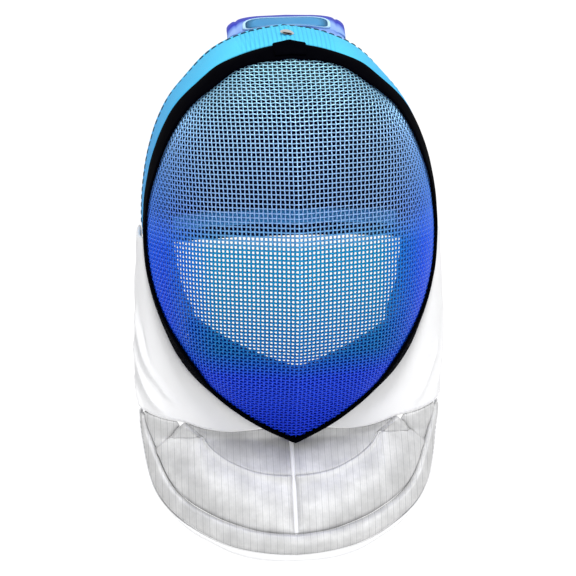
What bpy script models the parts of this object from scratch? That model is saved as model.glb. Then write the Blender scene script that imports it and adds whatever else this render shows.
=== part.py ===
"""Fencing mask with a woven wire face, a padded crown and a quilted bib.

Metres, +Z up. The face looks along -Y and +X is on the viewer's right. The origin is on the
underside of the crown padding, where the top of the wearer's head touches it.
"""

import bmesh
import bpy
import numpy as np

# Wire face and its rim
RIM_HALF_WIDTH = 0.0996
RIM_HEIGHT = 0.2755
RIM_PLANE_Y = -0.003
RIM_LEAN = 0.031
RIDGE_REACH = 0.105
FACE_WALL = 0.0016
BAND_LENGTH = 0.070
CENTRE_HIGH = 0.35
CENTRE_LOW = 0.62

# Black rubberised trim round the rim
TRIM_WIDTH = 0.024
TRIM_WALL = 0.0016
TRIM_GAP = 0.0009
TRIM_RETURN = 0.004
TRIM_END = 0.0023
TAB_HALF_WIDTH = 0.0105
TAB_LENGTH = 0.0135
TAB_WALL = 0.0015

# Cloth crown behind the trim
EAR_SHARE = 0.478
CROWN_START = 0.0029
CROWN_DEPTH = 0.057
CROWN_SWELL = 0.0098
CROWN_WALL = 0.002
CROWN_BINDING = 0.0045
RIVET_DEPTH = 0.016
RIVET_RADIUS = 0.0048
RIVET_HEIGHT = 0.0018

# Padding inside the crown and along the cheeks
HEAD_PAD = 0.009
CHEEK_PAD = 0.022
LINING_DEPTH = 0.052
LINING_END = 0.64
CHIN_PAD_WALL = 0.008
CHIN_PAD_HALF = 0.076
CHIN_PAD_RISE = 0.057
CHIN_PAD_EDGE = 0.0058

# Back pad, its elastic strap and the sprung tongue outside them
BACK_REACH = 0.095
BACK_HEM = 0.146
BACK_WALL = 0.006
STRAP_HEIGHT = 0.011
STRAP_WALL = 0.0016
STRAP_ABOVE_HEM = 0.010
STRAP_ANGLE = 62.0
TONGUE_HALF_WIDTH = 0.042
TONGUE_WALL = 0.008
TONGUE_RISE = 0.0098
TONGUE_DROP = 0.112
BADGE_HALF_WIDTH = 0.031
BADGE_WALL = 0.0009

# Quilted bib
BIB_HEIGHT = 0.219
BIB_STAND = 0.0089
BIB_HALF_WIDTH = RIM_HALF_WIDTH + BIB_STAND
BIB_WALL = 0.003
BIB_SIDE_Y = 0.034
BIB_FLAP = 0.038
BIB_REACH = 0.0525
BIB_OVER_TRIM = 0.0022
BIB_UNDER_TIP = 0.010
BIB_GAP = 0.00035

GAP = 0.0006
HALF_TURN = np.pi / 2

# Height down the rim, half-width and set-back, as shares of rim height, half-width and lean
RIM_ROWS = np.array([
    (0.000, 0.000, -1.00),
    (0.020, 0.260, -0.97),
    (0.051, 0.470, -0.93),
    (0.093, 0.616, -0.85),
    (0.137, 0.739, -0.73),
    (0.197, 0.843, -0.56),
    (0.264, 0.916, -0.38),
    (0.400, 0.990, -0.08),
    (0.468, 1.000, 0.00),
    (0.582, 0.973, 0.00),
    (0.696, 0.882, -0.04),
    (0.790, 0.755, -0.12),
    (0.877, 0.534, -0.20),
    (0.960, 0.223, -0.26),
    (1.000, 0.000, -0.28),
])

# Height down the rim against the reach of the ridge in front of the rim plane
RIDGE_ROWS = np.array([
    (0.000, 0.295), (0.035, 0.430), (0.063, 0.525), (0.092, 0.625), (0.123, 0.725),
    (0.188, 0.860), (0.255, 0.935), (0.323, 0.985), (0.394, 1.000), (0.466, 0.990),
    (0.539, 0.950), (0.616, 0.885), (0.738, 0.715), (0.824, 0.540), (0.918, 0.280),
    (1.000, 0.085),
])

# Height down the rim against the share of a section's depth that is gained in a straight line
CREASE_ROWS = np.array([
    (0.00, 0.10), (0.06, 0.15), (0.12, 0.25), (0.20, 0.36), (0.30, 0.42), (0.50, 0.44),
    (0.70, 0.50), (0.85, 0.60), (1.00, 0.75),
])

# Distance round the rim against the trim's width
TRIM_ROWS = np.array([
    (0.00, 0.64), (0.05, 0.66), (0.10, 0.74), (0.15, 0.95), (0.22, 1.00), (0.30, 0.95), (0.37, 0.80),
    (0.42, 0.56), (0.48, 0.40), (0.56, 0.34), (0.66, 0.55), (0.72, 0.76), (0.77, 0.70), (0.81, 0.38),
    (0.88, 0.25), (0.95, 0.19), (1.00, 0.17),
])

# Lengths from the rim to the rows of the trim's front, as shares of its width
TRIM_STEPS = np.array([0.0, 0.30, 0.65, 1.0])

# Share of the crown's depth against its swell, and distance round the rim against both the
# swell and the thickness of the padding between its crown and cheek values
SWELL_ROWS = np.array([(0.0, 0.0), (0.15, 0.28), (0.35, 0.62), (0.6, 0.90), (0.8, 1.0), (1.0, 0.92)])
ROUND_ROWS = np.array([
    (0.00, 1.00, 0.00), (0.05, 1.05, 0.01), (0.10, 0.93, 0.03), (0.14, 0.74, 0.05), (0.20, 0.44, 0.12),
    (0.25, 0.33, 0.20), (0.31, 0.21, 0.38), (0.36, 0.15, 0.55), (0.48, 0.10, 1.00), (0.75, 0.08, 0.95),
    (1.00, 0.08, 0.90),
])

# Centre line of the tongue's outer face: share of the way back, rise or drop as a share of
# its own size, half-width, thickness and the fall of its edges across the width
TONGUE_ROWS = np.array([
    (0.00, 0.00, 0.97, 0.50, 0.31), (0.12, 0.01, 0.98, 0.50, 0.31), (0.19, 0.48, 1.00, 0.85, 0.25),
    (0.31, 0.90, 1.00, 1.00, 0.17), (0.47, 1.00, 1.00, 1.00, 0.13), (0.65, 0.55, 0.98, 1.00, 0.10),
    (0.80, -0.06, 0.97, 1.00, 0.09), (0.91, -0.24, 0.96, 1.00, 0.09), (0.98, -0.45, 0.95, 1.00, 0.09),
    (1.00, -0.66, 0.92, 1.00, 0.09), (0.985, -0.86, 0.82, 0.90, 0.09), (0.955, -1.00, 0.55, 0.50, 0.06),
])

# First and last row of the tongue's table that the badge reaches
BADGE_STATIONS = (1.8, 3.25)

# Height down the bib against half-width, the side's set-back and, below the chin, reach
BIB_SIDE_ROWS = np.array([
    (0.00, 0.990, 1.00), (0.35, 1.000, 0.90), (0.55, 0.996, 0.68), (0.70, 0.968, 0.42),
    (0.85, 0.930, 0.20), (1.00, 0.895, -0.02),
])
BIB_REACH_ROWS = np.array([(0.00, 0.00), (0.13, 0.16), (0.28, 0.35), (0.53, 0.62), (0.77, 0.83), (1.00, 1.00)])

# Seams of the bib: share of the quarter turn from the centre line, and height down the bib
TOP_EDGE = np.array([(0.0, 0.0), (0.5, 0.0), (1.0, 0.0), (1.5, 0.0), (2.0, 0.0)])
YOKE_SEAM = np.array([
    (0.00, 0.625), (0.15, 0.634), (0.24, 0.637), (0.32, 0.630), (0.40, 0.610), (0.47, 0.602),
    (0.56, 0.596), (0.66, 0.587), (0.78, 0.576), (0.90, 0.562), (1.00, 0.552), (1.40, 0.530), (2.00, 0.480),
])
UPPER_ARCH = np.array([
    (0.00, 0.763), (0.09, 0.758), (0.17, 0.749), (0.23, 0.735), (0.28, 0.720), (0.32, 0.704),
    (0.365, 0.680), (0.395, 0.650), (0.405, 0.616),
])
GUSSET_SEAM = np.array([(0.47, 0.616), (0.60, 0.657), (0.715, 0.691)])
LOWER_ARCH = np.array([
    (0.00, 0.924), (0.09, 0.920), (0.18, 0.912), (0.26, 0.899), (0.34, 0.884), (0.43, 0.862),
    (0.51, 0.840), (0.59, 0.808), (0.65, 0.770), (0.69, 0.728), (0.725, 0.690), (0.765, 0.650),
    (0.80, 0.590),
])
BINDING_LINE = np.array([
    (0.00, 0.982), (0.10, 0.979), (0.20, 0.972), (0.29, 0.962), (0.38, 0.945), (0.49, 0.918),
    (0.60, 0.889), (0.70, 0.857), (0.78, 0.820), (0.84, 0.775), (0.875, 0.720), (0.90, 0.650),
    (0.92, 0.575),
])
HEM = np.array([
    (0.00, 1.002), (0.10, 0.999), (0.20, 0.993), (0.31, 0.978), (0.42, 0.951), (0.52, 0.928),
    (0.62, 0.896), (0.73, 0.853), (0.82, 0.808), (0.89, 0.755), (0.93, 0.690), (0.955, 0.620),
    (0.97, 0.572),
])


def through(rows, at, column=1):
    """Smooth curve through a table: cubic pieces that share their slope at each row."""
    x = rows[:, 0]
    y = rows[:, column]
    slope = np.gradient(y, x)
    at = np.clip(at, x[0], x[-1])
    k = np.clip(np.searchsorted(x, at, side="right") - 1, 0, len(x) - 2)
    width = x[k + 1] - x[k]
    t = (at - x[k]) / width
    start = (2 * t**3 - 3 * t**2 + 1) * y[k] + (t**3 - 2 * t**2 + t) * width * slope[k]
    end = (3 * t**2 - 2 * t**3) * y[k + 1] + (t**3 - t**2) * width * slope[k + 1]
    return start + end


def along(rows, share):
    """Points at shares of the length of a curve that is given by its corner points."""
    steps = np.linalg.norm(np.diff(rows, axis=0), axis=1)
    length = np.concatenate([[0.0], np.cumsum(steps)])
    table = np.column_stack([length / length[-1], rows])
    columns = [through(table, share, c) for c in range(1, table.shape[1])]
    return np.stack(columns, axis=-1)


def unit(vectors):
    return vectors / np.linalg.norm(vectors, axis=-1, keepdims=True)


# The seat of the head fixes the height of the rim: crown padding, cover and swell lie above it
SEAT_SHARE = (-RIM_PLANE_Y + RIM_LEAN) / CROWN_DEPTH
TRIM_PROUD = FACE_WALL / 2 + TRIM_GAP + TRIM_WALL
SEAT_SWELL = TRIM_PROUD + CROWN_SWELL * float(through(SWELL_ROWS, SEAT_SHARE))
RIM_TOP_Z = HEAD_PAD + 2 * GAP + CROWN_WALL - SEAT_SWELL
RIM_TIP_Z = RIM_TOP_Z - RIM_HEIGHT
EAR_Z = RIM_TOP_Z - EAR_SHARE * RIM_HEIGHT

_scaled = RIM_ROWS * np.array([RIM_HEIGHT, RIM_HALF_WIDTH, RIM_LEAN])
_fine = along(_scaled, np.linspace(0, 1, 401))
RIM_FINE = np.column_stack([np.linspace(0, 1, 401), _fine])


def rim(share):
    """Edge of the wire face at a share of its length from the top centre to the chin."""
    down, across, back = (np.interp(share, RIM_FINE[:, 0], RIM_FINE[:, c]) for c in (1, 2, 3))
    return np.stack([across, RIM_PLANE_Y + back, RIM_TOP_Z - down], axis=-1)


def rim_at_height(z):
    """Half-width and Y of the rim at a height."""
    down = np.clip(RIM_TOP_Z - z, 0.0, RIM_HEIGHT)
    across = np.interp(down, RIM_FINE[:, 1], RIM_FINE[:, 2])
    back = np.interp(down, RIM_FINE[:, 1], RIM_FINE[:, 3])
    return across, RIM_PLANE_Y + back


def share_at_height(z):
    """Share of the rim's length from the top centre at which it passes a height."""
    return np.interp(RIM_TOP_Z - z, RIM_FINE[:, 1], RIM_FINE[:, 0])


def share_at_width(x):
    """Share of the rim's length at which its upper half reaches a half-width."""
    widest = int(np.argmax(RIM_FINE[:, 2])) + 1
    return np.interp(x, RIM_FINE[:widest, 2], RIM_FINE[:widest, 0])


def face_y(x, z):
    """Y of the wire face.

    A level section starts at the ridge and ends at the rim. Part of its depth grows in a
    straight line from the crease, and the rest as a fifth power and a rounded corner.
    """
    half, edge_y = rim_at_height(z)
    down = (RIM_TOP_Z - z) / RIM_HEIGHT
    ridge_y = RIM_PLANE_Y - RIDGE_REACH * through(RIDGE_ROWS, down)
    crease = through(CREASE_ROWS, down)
    s = np.clip(np.abs(x) / np.maximum(half, 1e-6), 0.0, 1.0)
    bend = 0.55 * s**5 + 0.45 * (1 - np.sqrt(np.maximum(1 - s**6, 0.0)))
    return ridge_y + (edge_y - ridge_y) * (crease * s + (1 - crease) * bend)


def inward(points):
    """Direction across the face, seen from the front, from the rim to its middle line."""
    high = RIM_TOP_Z - CENTRE_HIGH * RIM_HEIGHT
    low = RIM_TOP_Z - CENTRE_LOW * RIM_HEIGHT
    middle = np.clip(points[..., 2], low, high)
    flat = np.stack([-points[..., 0], np.zeros_like(middle), middle - points[..., 2]], axis=-1)
    return unit(flat)


def band(shares, distances):
    """Points, face normals and inward directions at lengths along the face from its rim."""
    edge = rim(shares)
    steps = BAND_LENGTH * np.linspace(0, 1, 240)**2
    line = edge[:, None, :] + inward(edge)[:, None, :] * steps[None, :, None]
    line[..., 1] = face_y(line[..., 0], line[..., 2])
    line[:, 0] = edge
    run = np.linalg.norm(np.diff(line, axis=1), axis=2).cumsum(axis=1)
    run = np.concatenate([np.zeros((len(shares), 1)), run], axis=1)
    points = np.empty((len(shares), distances.shape[1], 3))
    for k in range(len(shares)):
        for axis in range(3):
            points[k, :, axis] = np.interp(distances[k], run[k], line[k, :, axis])
    course = np.gradient(edge, shares, axis=0)
    course[0, 1:] = 0.0
    if shares[-1] > 0.999:
        course[-1, 1:] = 0.0
    lead = np.gradient(points, axis=1)
    normals = unit(np.cross(course[:, None, :], lead))
    normals[normals[..., 1] > 0] *= -1
    return points, normals, unit(lead[:, 0])


# Making objects

def finish(name, colour, roughness, metallic=0.0):
    material = bpy.data.materials.new(name)
    material.use_nodes = True
    shader = material.node_tree.nodes["Principled BSDF"]
    shader.inputs["Base Color"].default_value = (*colour, 1.0)
    shader.inputs["Roughness"].default_value = roughness
    shader.inputs["Metallic"].default_value = metallic
    return material


def quads(rows, columns):
    """Corner numbers of the faces of a grid, wound so that row x column points outwards."""
    number = np.arange(rows * columns).reshape(rows, columns)
    corners = (number[:-1, :-1], number[1:, :-1], number[1:, 1:], number[:-1, 1:])
    return np.stack([c.ravel() for c in corners], axis=1).tolist()


def place(name, points, faces, material):
    mesh = bpy.data.meshes.new(name)
    mesh.from_pydata(points.reshape(-1, 3).tolist(), [], faces)
    mesh.update()
    mesh.shade_smooth()
    mesh.set_sharp_from_angle(angle=np.radians(40))
    mesh.materials.append(material)
    made = bpy.data.objects.new(name, mesh)
    parts.objects.link(made)
    return made


def mirrored(made):
    mirror = made.modifiers.new("Mirror", "MIRROR")
    mirror.merge_threshold = 0.0001
    return made


def thickened(made, wall, offset=-1.0):
    solidify = made.modifiers.new("Wall", "SOLIDIFY")
    solidify.thickness = wall
    solidify.offset = offset
    return made


def sheet(name, grid, wall, material, offset=-1.0, both_sides=False):
    """Open grid given a wall, and mirrored first when it is one half."""
    made = place(name, grid, quads(*grid.shape[:2]), material)
    if both_sides:
        mirrored(made)
    return thickened(made, wall, offset)


def walled(name, outer, inner, material, both_sides=False):
    """Closed body between an outer and an inner grid, with walls round their edge.

    A half is left open along its first column, where the mirror meets it.
    """
    number = np.arange(outer.shape[0] * outer.shape[1]).reshape(outer.shape[:2])
    count = number.size
    front = quads(*outer.shape[:2])
    back = [[corner + count for corner in face[::-1]] for face in front]
    edge = np.concatenate([number[0, :-1], number[:-1, -1], number[-1, :0:-1], number[-1:, 0]])
    if not both_sides:
        edge = np.concatenate([edge, number[-2::-1, 0]])
    sides = np.stack([edge[:-1], edge[1:], edge[1:] + count, edge[:-1] + count], axis=1).tolist()
    made = place(name, np.concatenate([outer.reshape(-1, 3), inner.reshape(-1, 3)]), front + back + sides, material)
    return mirrored(made) if both_sides else made


def loft(name, rings, material, closed=False):
    """Closed solid through rings of points, capped unless the last ring meets the first."""
    count, size = rings.shape[:2]
    wide = np.concatenate([rings, rings[:, :1]], axis=1)
    number = np.arange(count * size).reshape(count, size)
    number = np.concatenate([number, number[:, :1]], axis=1)
    if closed:
        number = np.concatenate([number, number[:1]], axis=0)
    corners = (number[:-1, :-1], number[1:, :-1], number[1:, 1:], number[:-1, 1:])
    faces = np.stack([c.ravel() for c in corners], axis=1).tolist()
    if not closed:
        faces += [number[0, :-1].tolist(), number[-1, :-1][::-1].tolist()]
    made = place(name, wide[:, :-1], faces, material)
    work = bmesh.new()
    work.from_mesh(made.data)
    bmesh.ops.recalc_face_normals(work, faces=work.faces)
    work.to_mesh(made.data)
    work.free()
    return made


def both_halves(half, closed=False):
    """Rings of one half carried on to the other side of the middle plane."""
    other = (half[1:-1 if closed else None] * np.array([-1.0, 1.0, 1.0]))[::-1]
    return np.concatenate([half, other] if closed else [other, half])


# Wire face

def build_face(material):
    down = np.concatenate([[0.012, 0.026], 0.5 - 0.5 * np.cos(np.linspace(0.42, 2.94, 23))])
    turn = np.linspace(0, HALF_TURN, 12)
    z = RIM_TOP_Z - RIM_HEIGHT * down[:, None] + 0 * turn[None, :]
    x = rim_at_height(z)[0] * np.sin(turn)[None, :]
    grid = np.stack([x, face_y(x, z), z], axis=-1)
    sheet("face_mesh", grid, FACE_WALL, material, offset=0.0, both_sides=True)


# Trim

def trim_shares():
    """Stations round the rim. The first few are the tab's, so that both bend at the same places."""
    tab = share_at_width(TAB_HALF_WIDTH)
    return np.concatenate([[0.0, tab / 2], np.linspace(tab, 0.94, 25), [0.955, 0.970, 0.985, 1.0]])


def trim_run(shares):
    """Lengths from the rim to the rows of the trim's front face."""
    return TRIM_WIDTH * through(TRIM_ROWS, shares)[:, None] * TRIM_STEPS[None, :]


def build_trim(material):
    shares = trim_shares()
    points, normals, lead = band(shares, trim_run(shares))
    low = FACE_WALL / 2 + TRIM_GAP
    high = TRIM_PROUD
    edge = points[:, 0]
    face = normals[:, 0]
    turned = points[:, 0] + lead * TRIM_RETURN
    ring = [points[:, k] + normals[:, k] * high for k in (3, 2, 1, 0)]
    ring += [edge - lead * 0.7 * TRIM_END + face * 0.75 * high]
    ring += [edge - lead * TRIM_END]
    ring += [edge - lead * 0.7 * TRIM_END - face * 0.75 * high]
    ring += [turned - face * high, turned - face * low]
    ring += [edge - lead * TRIM_GAP - face * low, edge - lead * TRIM_GAP + face * low]
    ring += [points[:, k] + normals[:, k] * low for k in (1, 2, 3)]
    half = np.stack(ring, axis=1)
    half[0, :, 0] = 0.0
    half[-1, :, 0] = 0.0
    loft("rim_trim", both_halves(half, closed=True), material, closed=True)


def build_tab(material):
    shares = trim_shares()[:3]
    points, normals, lead = band(shares, np.minimum(trim_run(shares), TAB_LENGTH))
    high = TRIM_PROUD + GAP
    rows = [points[:, 0] - lead * (TRIM_END + GAP) + normals[:, 0] * 0.5 * high]
    rows += [points[:, k] + normals[:, k] * high for k in range(4)]
    grid = np.stack(rows, axis=0)
    grid[:, 0, 0] = 0.0
    sheet("trim_tab", grid, TAB_WALL, material, offset=1.0, both_sides=True)


# Crown

def crown_point(share, depth, inset=0.0):
    """Outer face of the crown at a depth behind the rim, less an inset through its wall."""
    edge = rim(share)
    swell = CROWN_SWELL * through(ROUND_ROWS, share) * through(SWELL_ROWS, depth / CROWN_DEPTH)
    return edge - inward(edge) * (TRIM_PROUD + swell - inset)[..., None] + depth[..., None] * np.array([0, 1, 0])


def ear_share():
    return float(share_at_height(EAR_Z))


def build_crown(material, binding_material):
    depth = CROWN_START + (CROWN_DEPTH - CROWN_START) * np.array([0.0, 0.12, 0.28, 0.48, 0.7, 0.88, 1.0])
    share = np.linspace(0, ear_share() - GAP, 19)
    grid = crown_point(*np.meshgrid(share, depth, indexing="ij"))
    grid[0, :, 0] = 0.0
    sheet("crown_cover", grid, CROWN_WALL, material, both_sides=True)

    start = CROWN_DEPTH + GAP
    run = np.array([0.0, 0.35, 0.8, 1.0, 0.8, 0.0])
    inset = CROWN_WALL * np.array([-0.20, -0.35, -0.10, 0.40, 0.90, 1.00])
    s, d = np.meshgrid(share, start + CROWN_BINDING * run, indexing="ij")
    half = crown_point(s, d, inset[None, :] + 0 * s)
    half[0, :, 0] = 0.0
    loft("crown_binding", both_halves(half), binding_material)


def build_rivet(material):
    centre, ahead = (crown_point(np.array(0.0), np.array(d)) for d in (RIVET_DEPTH, 1.1 * RIVET_DEPTH))
    side = crown_point(np.array(0.01), np.array(RIVET_DEPTH))
    back = unit(ahead - centre)
    out = unit(np.cross(side - centre, back))
    cross = np.cross(back, out)
    turns = np.linspace(0, 2 * np.pi, 16, endpoint=False)
    circle = np.cos(turns)[:, None] * cross + np.sin(turns)[:, None] * back
    profile = ((1.0, 0.0), (1.0, 0.45), (0.78, 0.82), (0.4, 1.0))
    rings = [centre + circle * RIVET_RADIUS * r + out * (GAP + RIVET_HEIGHT * h) for r, h in profile]
    loft("crown_rivet", np.stack(rings), material)


# Padding

def lining_outer(share, depth):
    return crown_point(share, depth, CROWN_WALL + 2 * GAP)


def build_lining(material):
    share = np.linspace(0, LINING_END, 22)
    thick = HEAD_PAD + (CHEEK_PAD - HEAD_PAD) * through(ROUND_ROWS, share, 2)
    first = CROWN_START + GAP
    run = first + (LINING_DEPTH - first) * np.array([0.0, 0.30, 0.62, 1.0, 1.0, 0.72, 0.30, 0.0])
    into = np.array([0.0, 0.0, 0.0, 0.0, 0.72, 1.0, 1.0, 0.62])
    s, d = np.meshgrid(share, run, indexing="ij")
    outer = lining_outer(s, d)
    half = outer + inward(rim(s)) * (thick[:, None] * into[None, :])[..., None]
    half[0, :, 0] = 0.0
    loft("head_lining", both_halves(half), material)


def back_hem(turn):
    """Plan of the back pad's hem: an ellipse from the cheek to the back of the head."""
    side = back_edge(np.array(ear_share()))
    return side[0] * np.sin(turn), side[1] + (BACK_REACH - side[1]) * np.cos(turn)


def back_edge(share):
    """Front edge of the back pad, behind the lining and under the root of the tongue."""
    below = 2 * GAP + TONGUE_WALL * TONGUE_ROWS[0, 3] * through(ROUND_ROWS, share)
    depth = LINING_DEPTH + 4 * GAP + 0 * share
    return crown_point(share, depth, CROWN_WALL + 5 * GAP + below)


def back_curve(share, drop):
    """Back pad from the lining's rear edge, back over the head and down to the hem."""
    start = back_edge(share)
    x, y = back_hem(HALF_TURN * (share / ear_share())**2)
    end = np.stack([x, y, RIM_TOP_Z - BACK_HEM + 0 * x], axis=-1)
    back = (end[..., 1] - start[..., 1])[..., None]
    fall = (start[..., 2] - end[..., 2])[..., None]
    second = start + back * np.array([0.0, 0.68, 0.0]) + fall * np.array([0.0, 0.0, -0.03])
    third = end + back * np.array([0.0, 0.10, 0.0]) + fall * np.array([0.0, 0.0, 0.58])
    t = drop[..., None]
    return (1 - t)**3 * start + 3 * (1 - t)**2 * t * second + 3 * (1 - t) * t**2 * third + t**3 * end


def build_back(pad_material, strap_material):
    share, drop = np.meshgrid(np.linspace(0, ear_share(), 11), np.linspace(0, 1, 10), indexing="ij")
    grid = back_curve(share, drop)
    grid[0, :, 0] = 0.0
    sheet("back_pad", grid, BACK_WALL, pad_material, both_sides=True)

    turn = np.linspace(0, STRAP_ANGLE / 90.0, 13)
    share = ear_share() * np.sqrt(turn)
    fine = back_curve(*np.meshgrid(share, np.linspace(0, 1, 120), indexing="ij"))
    low = RIM_TOP_Z - BACK_HEM + STRAP_ABOVE_HEM
    rows = []
    for z in (low, low + STRAP_HEIGHT / 2, low + STRAP_HEIGHT):
        at = [[np.interp(-z, -line[:, 2], line[:, axis]) for axis in range(3)] for line in fine]
        rows.append(np.array(at))
    pad = np.stack(rows)
    course = np.gradient(pad, axis=1)
    course[:, 0] = (1.0, 0.0, 0.0)
    out = unit(np.stack([-course[..., 1], course[..., 0], 0 * course[..., 2]], axis=-1))
    grid = pad - out * (BACK_WALL + GAP)
    grid[:, 0, 0] = 0.0
    sheet("back_strap", grid, STRAP_WALL, strap_material, both_sides=True)


def build_chin_pad(material):
    across = CHIN_PAD_HALF * np.linspace(0, 1, 12)
    share = along(np.column_stack([RIM_FINE[:, 2], RIM_FINE[:, 1]])[200:], np.linspace(0, 1, 200))
    low = RIM_TOP_Z - np.interp(across, share[::-1, 0], share[::-1, 1])
    low = low + CHIN_PAD_EDGE * np.linspace(1.35, 1.95, 12)
    high = RIM_TIP_Z + CHIN_PAD_RISE + (across / CHIN_PAD_HALF)**1.4 * 0.62 * CHIN_PAD_RISE
    mix = np.linspace(0, 1, 6)[:, None]
    z = high * (1 - mix) + low * mix
    x = across + 0 * z
    y = face_y(x, z)
    grid = np.stack([x, y, z], axis=-1)
    step = 0.0004
    slope_x = (face_y(x + step, z) - face_y(np.abs(x - step), z)) / np.where(x > step, 2 * step, step)
    slope_x[:, 0] = 0.0
    slope_z = (face_y(x, z + step) - face_y(x, z - step)) / (2 * step)
    into = unit(np.stack([-slope_x, np.ones_like(x), -slope_z], axis=-1))
    near = grid + into * (FACE_WALL / 2 + GAP)
    near[:, 0, 0] = 0.0
    sheet("chin_pad", near, CHIN_PAD_WALL, material, both_sides=True)


# Tongue

def tongue_face(station, across, sunk=0.0):
    """Point of the tongue at a row of its table, a share of its half-width and a depth."""
    start = lining_outer(np.array(0.0), np.array(LINING_DEPTH))
    rows = TONGUE_ROWS
    back = BACK_REACH + 0.011 - start[1]
    y = start[1] + 6 * GAP + (back - 4 * GAP) * rows[:, 0]
    z = start[2] - 3 * GAP + np.where(rows[:, 1] > 0, TONGUE_RISE, TONGUE_DROP) * rows[:, 1]
    course = unit(np.stack([np.gradient(y), np.gradient(z)], axis=-1))
    laid = np.column_stack([y, z, course, TONGUE_HALF_WIDTH * rows[:, 2:]])
    y, z, run_y, run_z, half, _, fall = (np.interp(station, np.arange(len(rows)), c) for c in laid.T)
    square = 2 + 3 * np.clip((station - 1.5) / 1.5, 0, 1)
    below = fall * np.abs(across)**square + sunk
    return np.stack([half * across, y + run_z * below, z - run_y * below], axis=-1)


def build_tongue(material):
    across = np.array([-1.0, -0.95, -0.75, -0.5, -0.25, 0.0, 0.25, 0.5, 0.75, 0.95, 1.0])
    across = np.concatenate([across, across[-2:0:-1]])
    depth = np.array([0.5] + [0.0] * 9 + [0.5] + [1.0] * 9)
    station = np.arange(len(TONGUE_ROWS), dtype=float)[:, None]
    sunk = TONGUE_WALL * TONGUE_ROWS[:, 3:4] * depth[None, :]
    loft("tongue", tongue_face(station, across[None, :] + 0 * station, sunk), material)


def build_badge(material):
    """Plate with rounded corners on the tongue's upper face, following its slope and fall."""
    across = np.linspace(-1, 1, 9)[None, :]
    length = np.linspace(-1, 1, 9)[:, None]
    first, last = BADGE_STATIONS
    station = (first + last) / 2 + (last - first) / 2 * length + 0 * across
    narrow = BADGE_HALF_WIDTH / TONGUE_HALF_WIDTH * (1 - 0.10 * length**8)
    grid = tongue_face(station, across * narrow, -GAP)
    sheet("tongue_badge", grid[:, ::-1], BADGE_WALL, material, offset=1.0)


# Bib

def bib_point(turn, down):
    """Outer face of the bib at a share of the quarter turn and a share of its height.

    A level section is a quarter ellipse from the rim, or below the chin from the centre
    line, to the side. Past one quarter turn the side runs straight back as a flap.
    """
    z = EAR_Z - BIB_HEIGHT * down
    side_x = BIB_HALF_WIDTH * through(BIB_SIDE_ROWS, down)
    side_y = BIB_SIDE_Y * through(BIB_SIDE_ROWS, down, 2)
    edge_x, edge_y = rim_at_height(z)
    under = RIM_TIP_Z - z
    lowest = EAR_Z - BIB_HEIGHT
    reach = BIB_REACH * through(BIB_REACH_ROWS, under / (RIM_TIP_Z - lowest))
    inner_x = edge_x + BIB_OVER_TRIM * np.clip(-under / BIB_UNDER_TIP, 0, 1)
    behind = TRIM_PROUD + 3 * GAP
    inner_y = edge_y + behind - reach
    angle = HALF_TURN * np.minimum(turn, 1.0)
    x = inner_x + (side_x - inner_x) * np.sin(angle)
    y = inner_y + (side_y - inner_y) * (1 - np.cos(angle)) + BIB_FLAP * np.maximum(turn - 1.0, 0.0)
    return np.stack([x, y, z + 0 * x], axis=-1)


def bib_inner(turn, down):
    """Inner face of the bib: its outer face moved in along the surface's own normal."""
    step = 0.002
    across = bib_point(turn + step, down) - bib_point(np.maximum(turn - step, 0.0), down)
    fall = bib_point(turn, down + step) - bib_point(turn, down - step)
    return bib_point(turn, down) - BIB_WALL * unit(np.cross(fall, across))


def length_shares(seam):
    steps = np.linalg.norm(np.diff(seam, axis=0), axis=1)
    return np.concatenate([[0.0], np.cumsum(steps)]) / steps.sum()


def patch(upper, lower, rows, share):
    """Grid between two seams, held back from each by the gap that a seam keeps.

    Columns stand at shares of the seams' lengths. Given None, the seams have as many rows,
    and each column joins a pair of them.
    """
    top = upper if share is None else along(upper, share)
    bottom = lower if share is None else along(lower, share)
    apart = np.linalg.norm(bib_inner(*bottom.T) - bib_inner(*top.T), axis=1)
    hold = BIB_GAP / np.maximum(apart, 4 * BIB_GAP)
    mix = np.linspace(0, 1, rows)[:, None] * (1 - 2 * hold) + hold
    flat = top[None] * (1 - mix[..., None]) + bottom[None] * mix[..., None]
    return bib_point(flat[..., 0], flat[..., 1]), bib_inner(flat[..., 0], flat[..., 1])


def cut(seam, first, last):
    """Part of a seam between two shares of the turn."""
    inner = seam[(seam[:, 0] > first + 0.01) & (seam[:, 0] < last - 0.01)]
    ends = [(t, float(through(seam, t))) for t in (first, last)]
    return np.concatenate([[ends[0]], inner, [ends[1]]])


def sided(grid, side):
    turned = grid * np.array([side, 1.0, 1.0])
    return turned[:, ::-1] if side < 0 else turned


def held_back(share, first, last):
    """Shares of a seam whose ends stop short of the corners where two seams meet."""
    return np.clip(share, first, 1 - last)


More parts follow.
